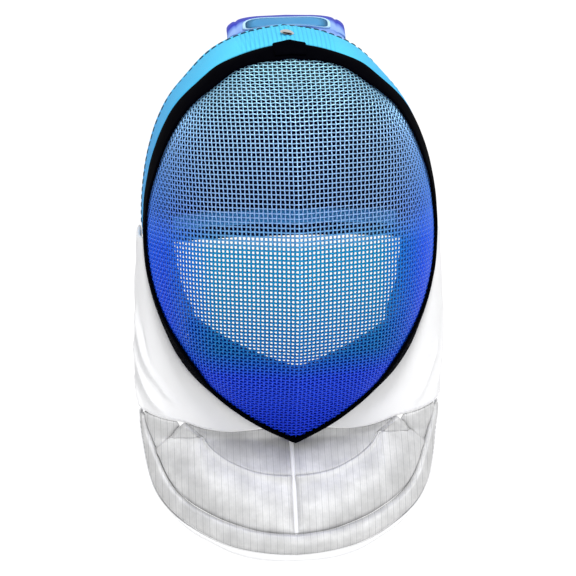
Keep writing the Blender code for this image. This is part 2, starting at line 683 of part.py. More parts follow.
def build_bib(white, conductive, edging):
    pinch = UPPER_ARCH[-1, 0]
    gusset_start, gusset_end = GUSSET_SEAM[0, 0], GUSSET_SEAM[-1, 0]
    meet = LOWER_ARCH[-1, 0]
    front_top = np.concatenate([UPPER_ARCH[:-1], cut(YOKE_SEAM, pinch, gusset_start)[:-1], GUSSET_SEAM])
    gusset_low = np.concatenate([GUSSET_SEAM[:-1], LOWER_ARCH[LOWER_ARCH[:, 0] > gusset_end]])
    panels = (
        ("bib_side", TOP_EDGE, YOKE_SEAM, 11, np.linspace(0, 1, 15), white),
        ("bib_throat", cut(YOKE_SEAM, 0.0, pinch), UPPER_ARCH, 4,
         held_back(length_shares(UPPER_ARCH), 0.006, 0.16), conductive),
        ("bib_front", front_top, cut(LOWER_ARCH, 0.0, gusset_end), 6,
         held_back(length_shares(front_top), 0.005, 0.035), conductive),
        ("bib_gusset", cut(YOKE_SEAM, gusset_start, meet), gusset_low, 3,
         held_back(length_shares(gusset_low), 0.08, 0.08), conductive),
    )
    for name, upper, lower, rows, share, material in panels:
        outer, inner = patch(upper, lower, rows, share)
        for side, word in ((1, "right"), (-1, "left")):
            walled(name + "_" + word, sided(outer, side), sided(inner, side), material)
    strips = (
        ("bib_border", LOWER_ARCH, BINDING_LINE, 4, conductive),
        ("bib_binding", BINDING_LINE, HEM, 3, edging),
    )
    for name, upper, lower, rows, material in strips:
        outer, inner = patch(upper, lower, rows, None)
        outer[:, 0, 0] = 0.0
        inner[:, 0, 0] = 0.0
        walled(name, outer, inner, material, both_sides=True)


for old in list(bpy.data.objects):
    bpy.data.objects.remove(old)

parts = bpy.data.collections.new("fencing_mask")
bpy.context.scene.collection.children.link(parts)

wire = finish("blue_painted_wire", (0.10, 0.28, 0.80), 0.35, 0.6)
rubber = finish("black_rubberised_tape", (0.004, 0.004, 0.006), 0.5)
crown_cloth = finish("light_blue_cloth", (0.13, 0.60, 0.95), 0.7)
navy_pad = finish("navy_padding", (0.003, 0.004, 0.03), 0.9)
elastic = finish("mid_blue_elastic", (0.06, 0.28, 0.65), 0.8)
chin_cloth = finish("deep_blue_padding", (0.004, 0.02, 0.35), 0.8)
tongue_cloth = finish("blue_coated_cloth", (0.02, 0.05, 0.50), 0.45)
badge_plastic = finish("pale_blue_plastic", (0.35, 0.65, 0.92), 0.35)
white_cloth = finish("white_cloth", (0.85, 0.85, 0.86), 0.85)
silver_cloth = finish("silver_conductive_cloth", (0.60, 0.61, 0.63), 0.5, 0.3)
white_piping = finish("white_piping", (0.88, 0.88, 0.88), 0.7)
steel = finish("polished_steel", (0.80, 0.80, 0.80), 0.2, 1.0)

build_face(wire)
build_trim(rubber)
build_tab(rubber)
build_crown(crown_cloth, crown_cloth)
build_rivet(steel)
build_lining(navy_pad)
build_back(navy_pad, elastic)
build_chin_pad(chin_cloth)
build_tongue(tongue_cloth)
build_badge(badge_plastic)
build_bib(white_cloth, silver_cloth, white_piping)
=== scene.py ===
"""Looks of the fencing mask: woven wire, cloth crown, padding, sprung tongue and quilted bib.

Metres, +Z up, and the face looks along -Y. New pieces are surfaces over grids of points. The
first half repeats the formulas of the solids, so that each piece lies where its solid does.
"""

import bmesh
import bpy
import numpy as np
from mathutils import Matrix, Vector


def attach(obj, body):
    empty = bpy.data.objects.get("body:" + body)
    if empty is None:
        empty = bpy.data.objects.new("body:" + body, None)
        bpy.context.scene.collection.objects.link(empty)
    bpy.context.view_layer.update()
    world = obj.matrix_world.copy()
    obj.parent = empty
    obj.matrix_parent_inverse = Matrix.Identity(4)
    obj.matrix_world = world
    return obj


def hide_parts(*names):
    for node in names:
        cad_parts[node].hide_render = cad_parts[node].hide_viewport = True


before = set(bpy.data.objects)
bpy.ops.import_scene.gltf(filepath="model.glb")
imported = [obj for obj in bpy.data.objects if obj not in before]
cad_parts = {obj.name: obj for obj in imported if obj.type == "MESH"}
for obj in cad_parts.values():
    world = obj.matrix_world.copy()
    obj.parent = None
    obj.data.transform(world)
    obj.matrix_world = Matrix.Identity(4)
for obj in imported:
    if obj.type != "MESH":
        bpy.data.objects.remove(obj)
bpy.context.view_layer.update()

# Wire face and its rim
RIM_HALF_WIDTH = 0.0996
RIM_HEIGHT = 0.2755
RIM_PLANE_Y = -0.003
RIM_LEAN = 0.031
RIDGE_REACH = 0.105
FACE_WALL = 0.0016
BAND_LENGTH = 0.070
CENTRE_HIGH = 0.35
CENTRE_LOW = 0.62

# Tape round the rim, its overlap at the top and the rounding of its lip
TRIM_WIDTH = 0.024
TRIM_WALL = 0.0016
TRIM_GAP = 0.0009
TRIM_RETURN = 0.004
TRIM_END = 0.0023
TRIM_LIP = 0.0010
TAB_HALF_WIDTH = 0.0105
TAB_LENGTH = 0.0135
TAB_WALL = 0.0014

# Cloth crown behind the trim, and its rivet
EAR_SHARE = 0.478
CROWN_START = 0.0029
CROWN_DEPTH = 0.057
CROWN_SWELL = 0.0098
CROWN_WALL = 0.002
CROWN_BINDING = 0.0045
RIVET_DEPTH = 0.016
RIVET_RADIUS = 0.0048
RIVET_HEIGHT = 0.0018

# Padding inside. The cheeks are thinner and the lining runs further down than in the solids,
# so that no light shows between them and the chin padding.
HEAD_PAD = 0.009
CHEEK_PAD = 0.0185
LINING_DEPTH = 0.052
LINING_END = 0.71
CHIN_PAD_WALL = 0.008
CHIN_PAD_HALF = 0.076
CHIN_PAD_RISE = 0.057
CHIN_PAD_EDGE = 0.0058

# Back pad, which starts in front of its own edge under the crown, its strap and the tongue
BACK_REACH = 0.095
BACK_HEM = 0.146
BACK_WALL = 0.006
BACK_START = -0.045
STRAP_HEIGHT = 0.011
STRAP_WALL = 0.0016
STRAP_ABOVE_HEM = 0.010
STRAP_ANGLE = 62.0
TONGUE_HALF_WIDTH = 0.042
TONGUE_WALL = 0.008
TONGUE_RISE = 0.0098
TONGUE_DROP = 0.112
TONGUE_STAND = 0.011
BADGE_HALF_WIDTH = 0.031

# Bib, its flaps at the sides and the length of its quarter turn
BIB_HEIGHT = 0.219
BIB_STAND = 0.0089
BIB_HALF_WIDTH = RIM_HALF_WIDTH + BIB_STAND
BIB_WALL = 0.003
BIB_SIDE_Y = 0.034
BIB_FLAP = 0.038
BIB_REACH = 0.0525
BIB_OVER_TRIM = 0.0022
BIB_UNDER_TIP = 0.010
BIB_QUARTER = 0.16
SEAM_GAP = 0.0002

# Room between two pieces, and a right angle
GAP = 0.0006
HALF_TURN = np.pi / 2

# Weave of the face: pitch of its wires, their radius above and below a height, and how far
# each bends round the next
WIRE_PITCH = 0.0031
WIRE_RADIUS = (0.00043, 0.00074)
WIRE_CRIMP = 0.00046

# Height below which the wires are drawn thicker, to look as dense as the photo shows them
# there, and the depth of that change
THICK_Z = -0.108
THICK_FADE = 0.018

# How far soft pieces sit off the middle plane: the crown to the left as a share of its depth,
# the bib to the left below the chin, and the tongue to the right
CROWN_TWIST = 0.03
BIB_SHIFT = 0.0028
TONGUE_SHIFT = 0.0026

# Ribs of the crown: reach from the middle, pitch, height and the length of their fade
RIB_REACH = 0.034
RIB_PITCH = 0.0030
RIB_HEIGHT = 0.0006
RIB_FADE = 0.006

# Depth of the crown's stitched row at the top centre and at the sides. Threads: length, gap
# and radius of a stitch on the crown and on the bib.
STITCH_DEPTH = (0.0415, 0.0505)
CROWN_STITCH = (0.0047, 0.0010, 0.0006)
BIB_STITCH = (0.0026, 0.0011, 0.00022)

# Sewn grooves: depth and half-width of the dimple along the crown's stitches, then depth,
# half-width and distance from the edge of those on the back pad and the tongue
CROWN_DIMPLE = (0.0005, 0.0016)
BACK_GROOVE = (0.0010, 0.0016, 0.009)
TONGUE_GROOVE = (0.0009, 0.0011, 0.0065)
CLOTH_WAVE = 0.00035

# Camera: what it looks at, its distance and angles, its focal length and the frame in pixels
AIM = (0.0, -0.003, -0.1694)
CAMERA_DISTANCE = 1.5
CAMERA_AZIMUTH = np.radians(-3.1)
CAMERA_ELEVATION = np.radians(9.5)
CAMERA_ROLL = np.radians(1.2)
FOCAL_PIXELS = 2143.0
FRAME_PIXELS = 576.0
AXIS_PIXEL_X = 291.7
SENSOR_WIDTH = 36.0
FLOOR_Z = -0.75
FLOOR_HALF = 30.0

# Height down the rim, half-width and set-back, as shares of rim height, half-width and lean
RIM_ROWS = np.array([
    (0.000, 0.000, -1.00),
    (0.020, 0.260, -0.97),
    (0.051, 0.470, -0.93),
    (0.093, 0.616, -0.85),
    (0.137, 0.739, -0.73),
    (0.197, 0.843, -0.56),
    (0.264, 0.916, -0.38),
    (0.400, 0.990, -0.08),
    (0.468, 1.000, 0.00),
    (0.582, 0.973, 0.00),
    (0.696, 0.882, -0.04),
    (0.790, 0.755, -0.12),
    (0.877, 0.534, -0.20),
    (0.960, 0.223, -0.26),
    (1.000, 0.000, -0.28),
])

# Height down the rim against the reach of the ridge in front of the rim plane
RIDGE_ROWS = np.array([
    (0.000, 0.295), (0.035, 0.430), (0.063, 0.525), (0.092, 0.625), (0.123, 0.725),
    (0.188, 0.860), (0.255, 0.935), (0.323, 0.985), (0.394, 1.000), (0.466, 0.990),
    (0.539, 0.950), (0.616, 0.885), (0.738, 0.715), (0.824, 0.540), (0.918, 0.280),
    (1.000, 0.085),
])

# Height down the rim against the share of a section's depth that is gained in a straight line
CREASE_ROWS = np.array([
    (0.00, 0.10), (0.06, 0.15), (0.12, 0.25), (0.20, 0.36), (0.30, 0.42), (0.50, 0.44),
    (0.70, 0.50), (0.85, 0.60), (1.00, 0.75),
])

# Distance round the rim against the trim's width
TRIM_ROWS = np.array([
    (0.00, 0.64), (0.05, 0.66), (0.10, 0.74), (0.15, 0.95), (0.22, 1.00), (0.30, 0.95), (0.37, 0.80),
    (0.42, 0.56), (0.48, 0.40), (0.56, 0.34), (0.66, 0.55), (0.72, 0.76), (0.77, 0.66), (0.81, 0.30),
    (0.88, 0.15), (0.95, 0.11), (1.00, 0.10),
])

# Share of the crown's depth against its swell, and distance round the rim against both the
# swell and the thickness of the padding between its crown and cheek values
SWELL_ROWS = np.array([(0.0, 0.0), (0.15, 0.28), (0.35, 0.62), (0.6, 0.90), (0.8, 1.0), (1.0, 0.92)])
ROUND_ROWS = np.array([
    (0.00, 1.00, 0.00), (0.05, 1.05, 0.01), (0.10, 0.93, 0.03), (0.14, 0.74, 0.05), (0.20, 0.44, 0.12),
    (0.25, 0.33, 0.20), (0.31, 0.21, 0.38), (0.36, 0.15, 0.55), (0.48, 0.10, 1.00), (0.75, 0.08, 0.95),
    (1.00, 0.08, 0.90),
])

# Centre line of the tongue's outer face: share of the way back, rise or drop as a share of
# its own size, half-width, thickness and the fall of its edges across the width
TONGUE_ROWS = np.array([
    (0.00, 0.00, 0.97, 0.50, 0.31), (0.12, 0.01, 0.98, 0.50, 0.31), (0.19, 0.48, 1.00, 0.85, 0.25),
    (0.31, 0.90, 1.00, 1.00, 0.17), (0.47, 1.00, 1.00, 1.00, 0.13), (0.65, 0.55, 0.98, 1.00, 0.10),
    (0.80, -0.06, 0.97, 1.00, 0.09), (0.91, -0.24, 0.96, 1.00, 0.09), (0.98, -0.45, 0.95, 1.00, 0.09),
    (1.00, -0.66, 0.92, 1.00, 0.09), (0.985, -0.86, 0.82, 0.90, 0.09), (0.955, -1.00, 0.55, 0.50, 0.06),
])
BADGE_STATIONS = (1.65, 2.7)

# Height down the bib against half-width, the side's set-back and, below the chin, reach
BIB_SIDE_ROWS = np.array([
    (0.00, 0.990, 1.00), (0.35, 1.000, 0.90), (0.55, 0.996, 0.68), (0.70, 0.968, 0.42),
    (0.85, 0.930, 0.20), (1.00, 0.895, -0.02),
])
BIB_REACH_ROWS = np.array([
    (0.00, 0.00), (0.13, 0.16), (0.28, 0.35), (0.53, 0.62), (0.77, 0.83), (1.00, 1.00),
])

# Seams of the bib: share of the quarter turn from the centre line, and height down the bib
TOP_EDGE = np.array([(0.0, 0.0), (0.5, 0.0), (1.0, 0.0), (1.5, 0.0), (2.0, 0.0)])
YOKE_SEAM = np.array([
    (0.00, 0.625), (0.15, 0.634), (0.24, 0.637), (0.32, 0.630), (0.40, 0.610), (0.47, 0.602),
    (0.56, 0.596), (0.66, 0.587), (0.78, 0.576), (0.90, 0.562), (1.00, 0.552), (1.40, 0.530), (2.00, 0.480),
])
UPPER_ARCH = np.array([
    (0.00, 0.763), (0.09, 0.758), (0.17, 0.749), (0.23, 0.735), (0.28, 0.720), (0.32, 0.704),
    (0.365, 0.680), (0.395, 0.650), (0.405, 0.616),
])
GUSSET_SEAM = np.array([(0.47, 0.616), (0.60, 0.657), (0.715, 0.691)])
LOWER_ARCH = np.array([
    (0.00, 0.924), (0.09, 0.920), (0.18, 0.912), (0.26, 0.899), (0.34, 0.884), (0.43, 0.862),
    (0.51, 0.840), (0.59, 0.808), (0.65, 0.770), (0.69, 0.728), (0.725, 0.690), (0.765, 0.650),
    (0.80, 0.590),
])
BINDING_LINE = np.array([
    (0.00, 0.982), (0.10, 0.979), (0.20, 0.972), (0.29, 0.962), (0.38, 0.945), (0.49, 0.918),
    (0.60, 0.889), (0.70, 0.857), (0.78, 0.820), (0.84, 0.775), (0.875, 0.720), (0.90, 0.650),
    (0.92, 0.575),
])
HEM = np.array([
    (0.00, 1.002), (0.10, 0.999), (0.20, 0.993), (0.31, 0.978), (0.42, 0.951), (0.52, 0.928),
    (0.62, 0.896), (0.73, 0.853), (0.82, 0.808), (0.89, 0.755), (0.93, 0.690), (0.955, 0.620),
    (0.97, 0.572),
])

# Folds of the cloth: turn and height down the bib at both ends, half-width and height in mm
SIDE_FOLDS = np.array([
    (-0.78, 0.24, -0.40, 0.52, 5.0, 3.4), (-0.90, 0.34, -0.55, 0.56, 4.5, 3.0),
    (-0.98, 0.46, -0.80, 0.57, 3.5, 1.8), (-0.60, 0.30, -0.45, 0.50, 5.0, -1.6),
    (0.62, 0.38, 0.50, 0.56, 6.0, 1.8), (0.90, 0.25, 0.78, 0.52, 6.0, 1.3),
    (1.30, 0.10, 1.15, 0.50, 8.0, 1.2), (-1.35, 0.12, -1.15, 0.52, 8.0, 1.2),
])


# Curves

def through(rows, at, column=1):
    """Smooth curve through a table: cubic pieces that share their slope at each row."""
    x = rows[:, 0]
    y = rows[:, column]
    slope = np.gradient(y, x)
    at = np.clip(at, x[0], x[-1])
    k = np.clip(np.searchsorted(x, at, side="right") - 1, 0, len(x) - 2)
    width = x[k + 1] - x[k]
    t = (at - x[k]) / width
    start = (2 * t**3 - 3 * t**2 + 1) * y[k] + (t**3 - 2 * t**2 + t) * width * slope[k]
    end = (3 * t**2 - 2 * t**3) * y[k + 1] + (t**3 - t**2) * width * slope[k + 1]
    return start + end


def along(rows, share):
    """Points at shares of the length of a curve that is given by its corner points."""
    steps = np.linalg.norm(np.diff(rows, axis=0), axis=1)
    length = np.concatenate([[0.0], np.cumsum(steps)])
    table = np.column_stack([length / length[-1], rows])
    columns = [through(table, share, c) for c in range(1, table.shape[1])]
    return np.stack(columns, axis=-1)


def unit(vectors):
    """Vectors over their own lengths."""
    return vectors / np.maximum(np.linalg.norm(vectors, axis=-1, keepdims=True), 1e-12)


def lengths(points, axis):
    """Length along one axis of a grid of points, from its first row or column."""
    steps = np.linalg.norm(np.diff(points, axis=axis), axis=-1)
    start = np.zeros_like(np.take(steps, [0], axis=axis))
    return np.concatenate([start, np.cumsum(steps, axis=axis)], axis=axis)


def read_along(values, run, at):
    """Points of one line at lengths along it, in straight steps between its own points."""
    return np.stack([np.interp(at, run, values[:, axis]) for axis in range(3)], axis=-1)


def bell(distance, width):
    """Bell curve of a distance: one at its middle, and 0.37 at the width."""
    return np.exp(-(distance / width)**2)


def eased(count, first=0.0, last=1.0):
    """Shares from first to last that lie closer together near both ends."""
    return first + (last - first) * (0.5 - 0.5 * np.cos(np.linspace(0, np.pi, count)))


def power(value, exponent):
    """Signed power, which squares up a circle's sine and cosine when under one."""
    return np.sign(value) * np.abs(value)**exponent


# Form of the solids

SEAT_SHARE = (-RIM_PLANE_Y + RIM_LEAN) / CROWN_DEPTH
TRIM_PROUD = FACE_WALL / 2 + TRIM_GAP + TRIM_WALL
SEAT_SWELL = TRIM_PROUD + CROWN_SWELL * float(through(SWELL_ROWS, SEAT_SHARE))
RIM_TOP_Z = HEAD_PAD + 2 * GAP + CROWN_WALL - SEAT_SWELL
RIM_TIP_Z = RIM_TOP_Z - RIM_HEIGHT
EAR_Z = RIM_TOP_Z - EAR_SHARE * RIM_HEIGHT

rim_shares = np.linspace(0, 1, 2001)
rim_scaled = RIM_ROWS * np.array([RIM_HEIGHT, RIM_HALF_WIDTH, RIM_LEAN])
RIM_FINE = np.column_stack([rim_shares, along(rim_scaled, rim_shares)])


def rim(share):
    """Edge of the wire face at a share of its length from the top centre to the chin."""
    down, across, back = (np.interp(share, RIM_FINE[:, 0], RIM_FINE[:, c]) for c in (1, 2, 3))
    return np.stack([across, RIM_PLANE_Y + back, RIM_TOP_Z - down], axis=-1)


def rim_at_height(z):
    """Half-width and Y of the rim at a height."""
    down = np.clip(RIM_TOP_Z - z, 0.0, RIM_HEIGHT)
    across = np.interp(down, RIM_FINE[:, 1], RIM_FINE[:, 2])
    back = np.interp(down, RIM_FINE[:, 1], RIM_FINE[:, 3])
    return across, RIM_PLANE_Y + back


def share_at_height(z):
    """Share of the rim's length at a height, read back from its fine table."""
    return np.interp(RIM_TOP_Z - z, RIM_FINE[:, 1], RIM_FINE[:, 0])


def share_at_width(x):
    """Share of the rim's length at a half-width, above its widest place."""
    widest = int(np.argmax(RIM_FINE[:, 2])) + 1
    return np.interp(x, RIM_FINE[:widest, 2], RIM_FINE[:widest, 0])


EAR = float(share_at_height(EAR_Z))


def ridge_y(z):
    """Y of the ridge: the rim plane less the reach, as its table gives it down the rim."""
    return RIM_PLANE_Y - RIDGE_REACH * through(RIDGE_ROWS, (RIM_TOP_Z - z) / RIM_HEIGHT)


def face_y(x, z):
    """Y of the wire face: from the ridge, part straight line and part fifth power and corner."""
    half, edge_y = rim_at_height(z)
    crease = through(CREASE_ROWS, (RIM_TOP_Z - z) / RIM_HEIGHT)
    s = np.clip(np.abs(x) / np.maximum(half, 1e-6), 0.0, 1.0)
    bend = 0.55 * s**5 + 0.45 * (1 - np.sqrt(np.maximum(1 - s**6, 0.0)))
    return ridge_y(z) + (edge_y - ridge_y(z)) * (crease * s + (1 - crease) * bend)


def inward(points):
    """Direction across the face, seen from the front, from the rim to its middle line."""
    high = RIM_TOP_Z - CENTRE_HIGH * RIM_HEIGHT
    low = RIM_TOP_Z - CENTRE_LOW * RIM_HEIGHT
    middle = np.clip(points[..., 2], low, high)
    flat = np.stack([-points[..., 0], np.zeros_like(middle), middle - points[..., 2]], axis=-1)
    return unit(flat)


def band(shares, distances):
    """Points, face normals and inward directions at lengths along the face from its rim."""
    edge = rim(shares)
    steps = BAND_LENGTH * np.linspace(0, 1, 240)**2
    line = edge[:, None, :] + inward(edge)[:, None, :] * steps[None, :, None]
    line[..., 1] = face_y(line[..., 0], line[..., 2])
    line[:, 0] = edge
    run = lengths(line, 1)
    course = np.gradient(edge, shares, axis=0)
    ends = [(0, 1), (-1, -2)] if shares[-1] > 0.999 else [(0, 1)]
    for end, _ in ends:
        course[end, 1:] = 0.0
    lead = unit(line[:, 12] - line[:, 0])
    slope = np.gradient(line, axis=1)
    normals = unit(np.cross(course[:, None, :], slope))
    normals[normals[..., 1] > 0] *= -1
    for end, beside in ends:
        normals[end] = normals[beside] * np.array([0.0, 1.0, 1.0])
        lead[end] = lead[beside] * np.array([0.0, 1.0, 1.0])
    points, taken = (np.stack([read_along(v, r, d) for v, r, d in zip(values, run, distances)])
                     for values in (line, normals))
    return points, unit(taken), lead


def crown_point(share, depth, inset=0.0):
    """Outer face of the crown at a depth behind the rim, less an inset through its wall.

    A negative share is the same place on the left of the middle plane.
    """
    edge = rim(np.abs(share))
    swell = CROWN_SWELL * through(ROUND_ROWS, np.abs(share)) * through(SWELL_ROWS, depth / CROWN_DEPTH)
    out = edge - inward(edge) * (TRIM_PROUD + swell - inset)[..., None]
    out = out + depth[..., None] * np.array([0, 1, 0])
    out[..., 0] *= np.where(share < 0, -1.0, 1.0)
    out[..., 0] -= CROWN_TWIST * depth * (1 - (share / EAR)**2)
    return out


def back_edge(share):
    """Front edge of the back pad, behind the lining and under the root of the tongue."""
    below = 2 * GAP + TONGUE_WALL * TONGUE_ROWS[0, 3] * through(ROUND_ROWS, np.abs(share))
    return crown_point(share, LINING_DEPTH + 4 * GAP + 0 * share, CROWN_WALL + 5 * GAP + below)


def back_curve(share, drop):
    """Back pad from the lining's rear edge, back over the head and down to the hem."""
    start = back_edge(share)
    side = back_edge(np.array(EAR))
    turn = HALF_TURN * np.sign(share) * (share / EAR)**2
    x = side[0] * np.sin(turn)
    y = side[1] + (BACK_REACH - side[1]) * np.cos(turn)
    end = np.stack([x, y, RIM_TOP_Z - BACK_HEM + 0 * x], axis=-1)
    back = (end[..., 1] - start[..., 1])[..., None]
    fall = (start[..., 2] - end[..., 2])[..., None]
    second = start + back * np.array([0.0, 0.68, 0.0]) + fall * np.array([0.0, 0.0, -0.03])
    third = end + back * np.array([0.0, 0.10, 0.0]) + fall * np.array([0.0, 0.0, 0.58])
    t = drop[..., None]
    return (1 - t)**3 * start + 3 * (1 - t)**2 * t * second + 3 * (1 - t) * t**2 * third + t**3 * end


def tongue_face(station, across, sunk=0.0):
    """Point of the tongue at a row of its table, a share of its half-width and a depth.

    Its edges fall by a power of that share, the square up to row 1.5 and the fifth from row
    3 on. The fall and the depth are laid off across the centre line.
    """
    start = crown_point(np.array(0.0), np.array(LINING_DEPTH), CROWN_WALL + 2 * GAP)
    rows = TONGUE_ROWS
    back = BACK_REACH + TONGUE_STAND - start[1]
    y = start[1] + 6 * GAP + (back - 4 * GAP) * rows[:, 0]
    z = start[2] - 3 * GAP + np.where(rows[:, 1] > 0, TONGUE_RISE, TONGUE_DROP) * rows[:, 1]
    number = np.arange(len(rows), dtype=float)
    laid = np.column_stack([number, y, z, TONGUE_HALF_WIDTH * rows[:, 2:]])
    y, z, half, _, fall = (through(laid, station, c) for c in range(1, 6))
    step = 0.05
    run_y, run_z = (through(laid, station + step, c) - through(laid, station - step, c) for c in (1, 2))
    long = np.hypot(run_y, run_z)
    square = 2 + 3 * np.clip((station - 1.5) / 1.5, 0, 1)
    below = fall * np.abs(across)**square + sunk
    x = half * across + TONGUE_SHIFT
    return np.stack([x, y + run_z / long * below, z - run_y / long * below], axis=-1)


def bib_point(turn, down):
    """Outer face of the bib at a share of the quarter turn and a share of its height.

    A level section is a quarter ellipse from the rim, or below the chin from the centre
    line, to the side. Past one quarter turn the side runs straight back as a flap, and a
    negative turn is the left side.
    """
    z = EAR_Z - BIB_HEIGHT * down
    side_x = BIB_HALF_WIDTH * through(BIB_SIDE_ROWS, down)
    side_y = BIB_SIDE_Y * through(BIB_SIDE_ROWS, down, 2)
    edge_x, edge_y = rim_at_height(z)
    under = RIM_TIP_Z - z
    lowest = EAR_Z - BIB_HEIGHT
    reach = BIB_REACH * through(BIB_REACH_ROWS, under / (RIM_TIP_Z - lowest))
    inner_x = edge_x + BIB_OVER_TRIM * np.clip(-under / BIB_UNDER_TIP, 0, 1)
    inner_y = edge_y + TRIM_PROUD + 3 * GAP - reach
    angle = HALF_TURN * np.minimum(np.abs(turn), 1.0)
    x = inner_x + (side_x - inner_x) * np.sin(angle)
    y = inner_y + (side_y - inner_y) * (1 - np.cos(angle)) + BIB_FLAP * np.maximum(np.abs(turn) - 1.0, 0.0)
    shift = BIB_SHIFT * np.clip((down - 0.25) / 0.4, 0, 1)
    return np.stack([x * np.copysign(1.0, turn) - shift, y, z + 0 * x], axis=-1)


def bib_normal(turn, down):
    """Outward normal of the bib, from the differences of its own formula."""
    step = 0.002
    side = np.where(turn < 0, -1.0, 1.0)
    size = np.abs(turn)
    across = bib_point(size + step, down) - bib_point(np.maximum(size - step, 0.0), down)
    fall = bib_point(size, down + step) - bib_point(size, down - step)
    normal = unit(np.cross(fall, across))
    normal[..., 0] *= side
    return normal


def seam_between(seam, first, last):
    """Part of a seam between two shares of the turn."""
    inner = seam[(seam[:, 0] > first + 0.01) & (seam[:, 0] < last - 0.01)]
    ends = [(t, float(through(seam, t))) for t in (first, last)]
    return np.concatenate([[ends[0]], inner, [ends[1]]])


# Meshes

def quads(grid):
    """The four corners of each cell of a grid, in turn round the cell."""
    return np.stack([grid[:-1, :-1], grid[1:, :-1], grid[1:, 1:], grid[:-1, 1:]], axis=2)


def surface(name, grid, material, ring=False, closed=False):
    """Mesh over a grid of points with a UV map in metres.

    A ring joins the last column to the first. A closed piece has its coincident points
    welded, which shuts rows that shrink to a line or a point, and its faces turned outwards.
    """
    rows, columns = grid.shape[:2]
    number = np.arange(rows * columns).reshape(rows, columns)
    wide = grid
    if ring:
        number = np.concatenate([number, number[:, :1]], axis=1)
        wide = np.concatenate([grid, grid[:, :1]], axis=1)
    flat = np.stack([lengths(wide, 1), lengths(wide, 0)], axis=-1)
    faces, uv = quads(number).reshape(-1, 4), quads(flat).reshape(-1, 2)
    return build(name, grid.reshape(-1, 3), faces, uv, material, closed)


def build(name, points, faces, uv, material, closed):
    """Smooth object of points, four-sided faces and a UV pair for each of their corners."""
    mesh = bpy.data.meshes.new(name)
    mesh.from_pydata(points.tolist(), [], faces.tolist())
    layer = mesh.uv_layers.new(name="UVMap")
    layer.data.foreach_set("uv", uv.ravel())
    if closed:
        work = bmesh.new()
        work.from_mesh(mesh)
        bmesh.ops.remove_doubles(work, verts=work.verts, dist=2e-6)
        bmesh.ops.dissolve_degenerate(work, edges=work.edges, dist=1e-7)
        bmesh.ops.recalc_face_normals(work, faces=work.faces)
        work.to_mesh(mesh)
        work.free()
    mesh.shade_smooth()
    mesh.materials.append(material)
    made = bpy.data.objects.new(name, mesh)
    bpy.context.scene.collection.objects.link(made)
    return made


def tubes(name, lines, material):
    """One mesh of many closed tubes. Each line is a grid of rings along its wire."""
    points, faces, uv, count = [], [], [], 0
    for rings in lines:
        rows, sides = rings.shape[:2]
        number = np.arange(rows * sides).reshape(rows, sides) + count
        number = np.concatenate([number, number[:, :1]], axis=1)
        faces.append(quads(number).reshape(-1, 4))
        points.append(rings.reshape(-1, 3))
        length = lengths(rings, 0)[:, :1] + np.zeros((1, sides + 1))
        turn = np.linspace(0, 1, sides + 1)[None, :] + 0 * length
        uv.append(quads(np.stack([turn, length], axis=-1)).reshape(-1, 2))
        count += rows * sides
    points, faces, uv = (np.concatenate(part) for part in (points, faces, uv))
    return build(name, points, faces, uv, material, True)


def tube_rings(line, normals, radius, sides=5, flat=1.0):
    """Rings round a line of points, shut to a point at both ends. Flat squeezes them."""
    course = unit(np.gradient(line, axis=0))
    side = unit(np.cross(course, normals))
    up = np.cross(side, course)
    turn = 2 * np.pi * (np.arange(sides) + 0.5) / sides
    radius = np.broadcast_to(np.asarray(radius, float), (len(line),))[:, None, None]
    spread = np.cos(turn)[None, :, None] * side[:, None] + flat * np.sin(turn)[None, :, None] * up[:, None]
    rings = line[:, None] + radius * spread
    start = np.repeat(line[:1, None], sides, axis=1)
    end = np.repeat(line[-1:, None], sides, axis=1)
    return np.concatenate([start, rings, end])


def stitches(name, line, normals, material, size):
    """Row of short threads along a line, each a bent capsule that dips at both its ends."""
    long, gap, radius = size
    run = lengths(line, 0)
    count = int(run[-1] // (long + gap))
    start = (np.arange(count) + 0.5) * run[-1] / count
    share = np.linspace(-0.5, 0.5, 6)
    at = start[:, None] + long * share[None, :]
    centre = read_along(line, run, at)
    up = unit(read_along(normals, run, at))
    swell = np.sqrt(np.maximum(1 - (2 * share)**4, 0.02))
    centre = centre + up * (radius * (0.9 * swell - 0.35))[None, :, None]
    lines = [tube_rings(c, n, radius * swell, sides=6) for c, n in zip(centre, up)]
    return tubes(name, lines, material)


def pad(name, front, back, material, edge, square=2.2):
    """Closed pad between two grids that meet along their edges.

    Within a distance of the edge both faces draw in to the middle surface, as the rounded
    profile (1 - (1 - r)**square)**(1 / square) of their share r of that distance.
    """
    middle = (front + back) / 2
    across = lengths(middle, 1)
    down = lengths(middle, 0)
    near = np.minimum(np.minimum(across, across[:, -1:] - across), np.minimum(down, down[-1:] - down))
    r = np.clip(near / edge, 0.0, 1.0)[..., None]
    full = (1 - (1 - r)**square)**(1 / square)
    outer, inner = (middle + (side - middle) * full for side in (front, back))
    grid = np.concatenate([outer, inner[:, ::-1]], axis=1)
    return surface(name, grid, material, ring=True, closed=True)


def wander(points, size, seed=0.0):
    """Slow smooth unevenness between -1 and 1: a sum of crossed sine waves over a place."""
    x, y, z = (points[..., axis] / size for axis in range(3))
    first = np.sin(2.1 * x + 1.3 * np.sin(1.7 * z + seed) + seed)
    second = np.sin(2.7 * z - 1.1 * np.sin(1.9 * y - seed) + 2.3 * seed)
    third = np.sin(2.3 * y + 1.9 * x + 1.2 * np.sin(2.2 * z) - seed)
    return (first + second + third) / 3


def wear(piece, slot, *nodes, fill=None):
    """Attach a piece to the mask and hide the solids that it stands for, its nodes. The slot is not used."""
    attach(piece, "root")
    if nodes:
        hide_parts(*nodes)
    return piece


# Materials

# A wave texture's scale times its period in metres. The scale of a noise or cell texture is how
# many of its grains go into a metre, so 38 is blotches of 26 mm and 900 a grain of 1.1 mm.
WAVE = np.pi / 10


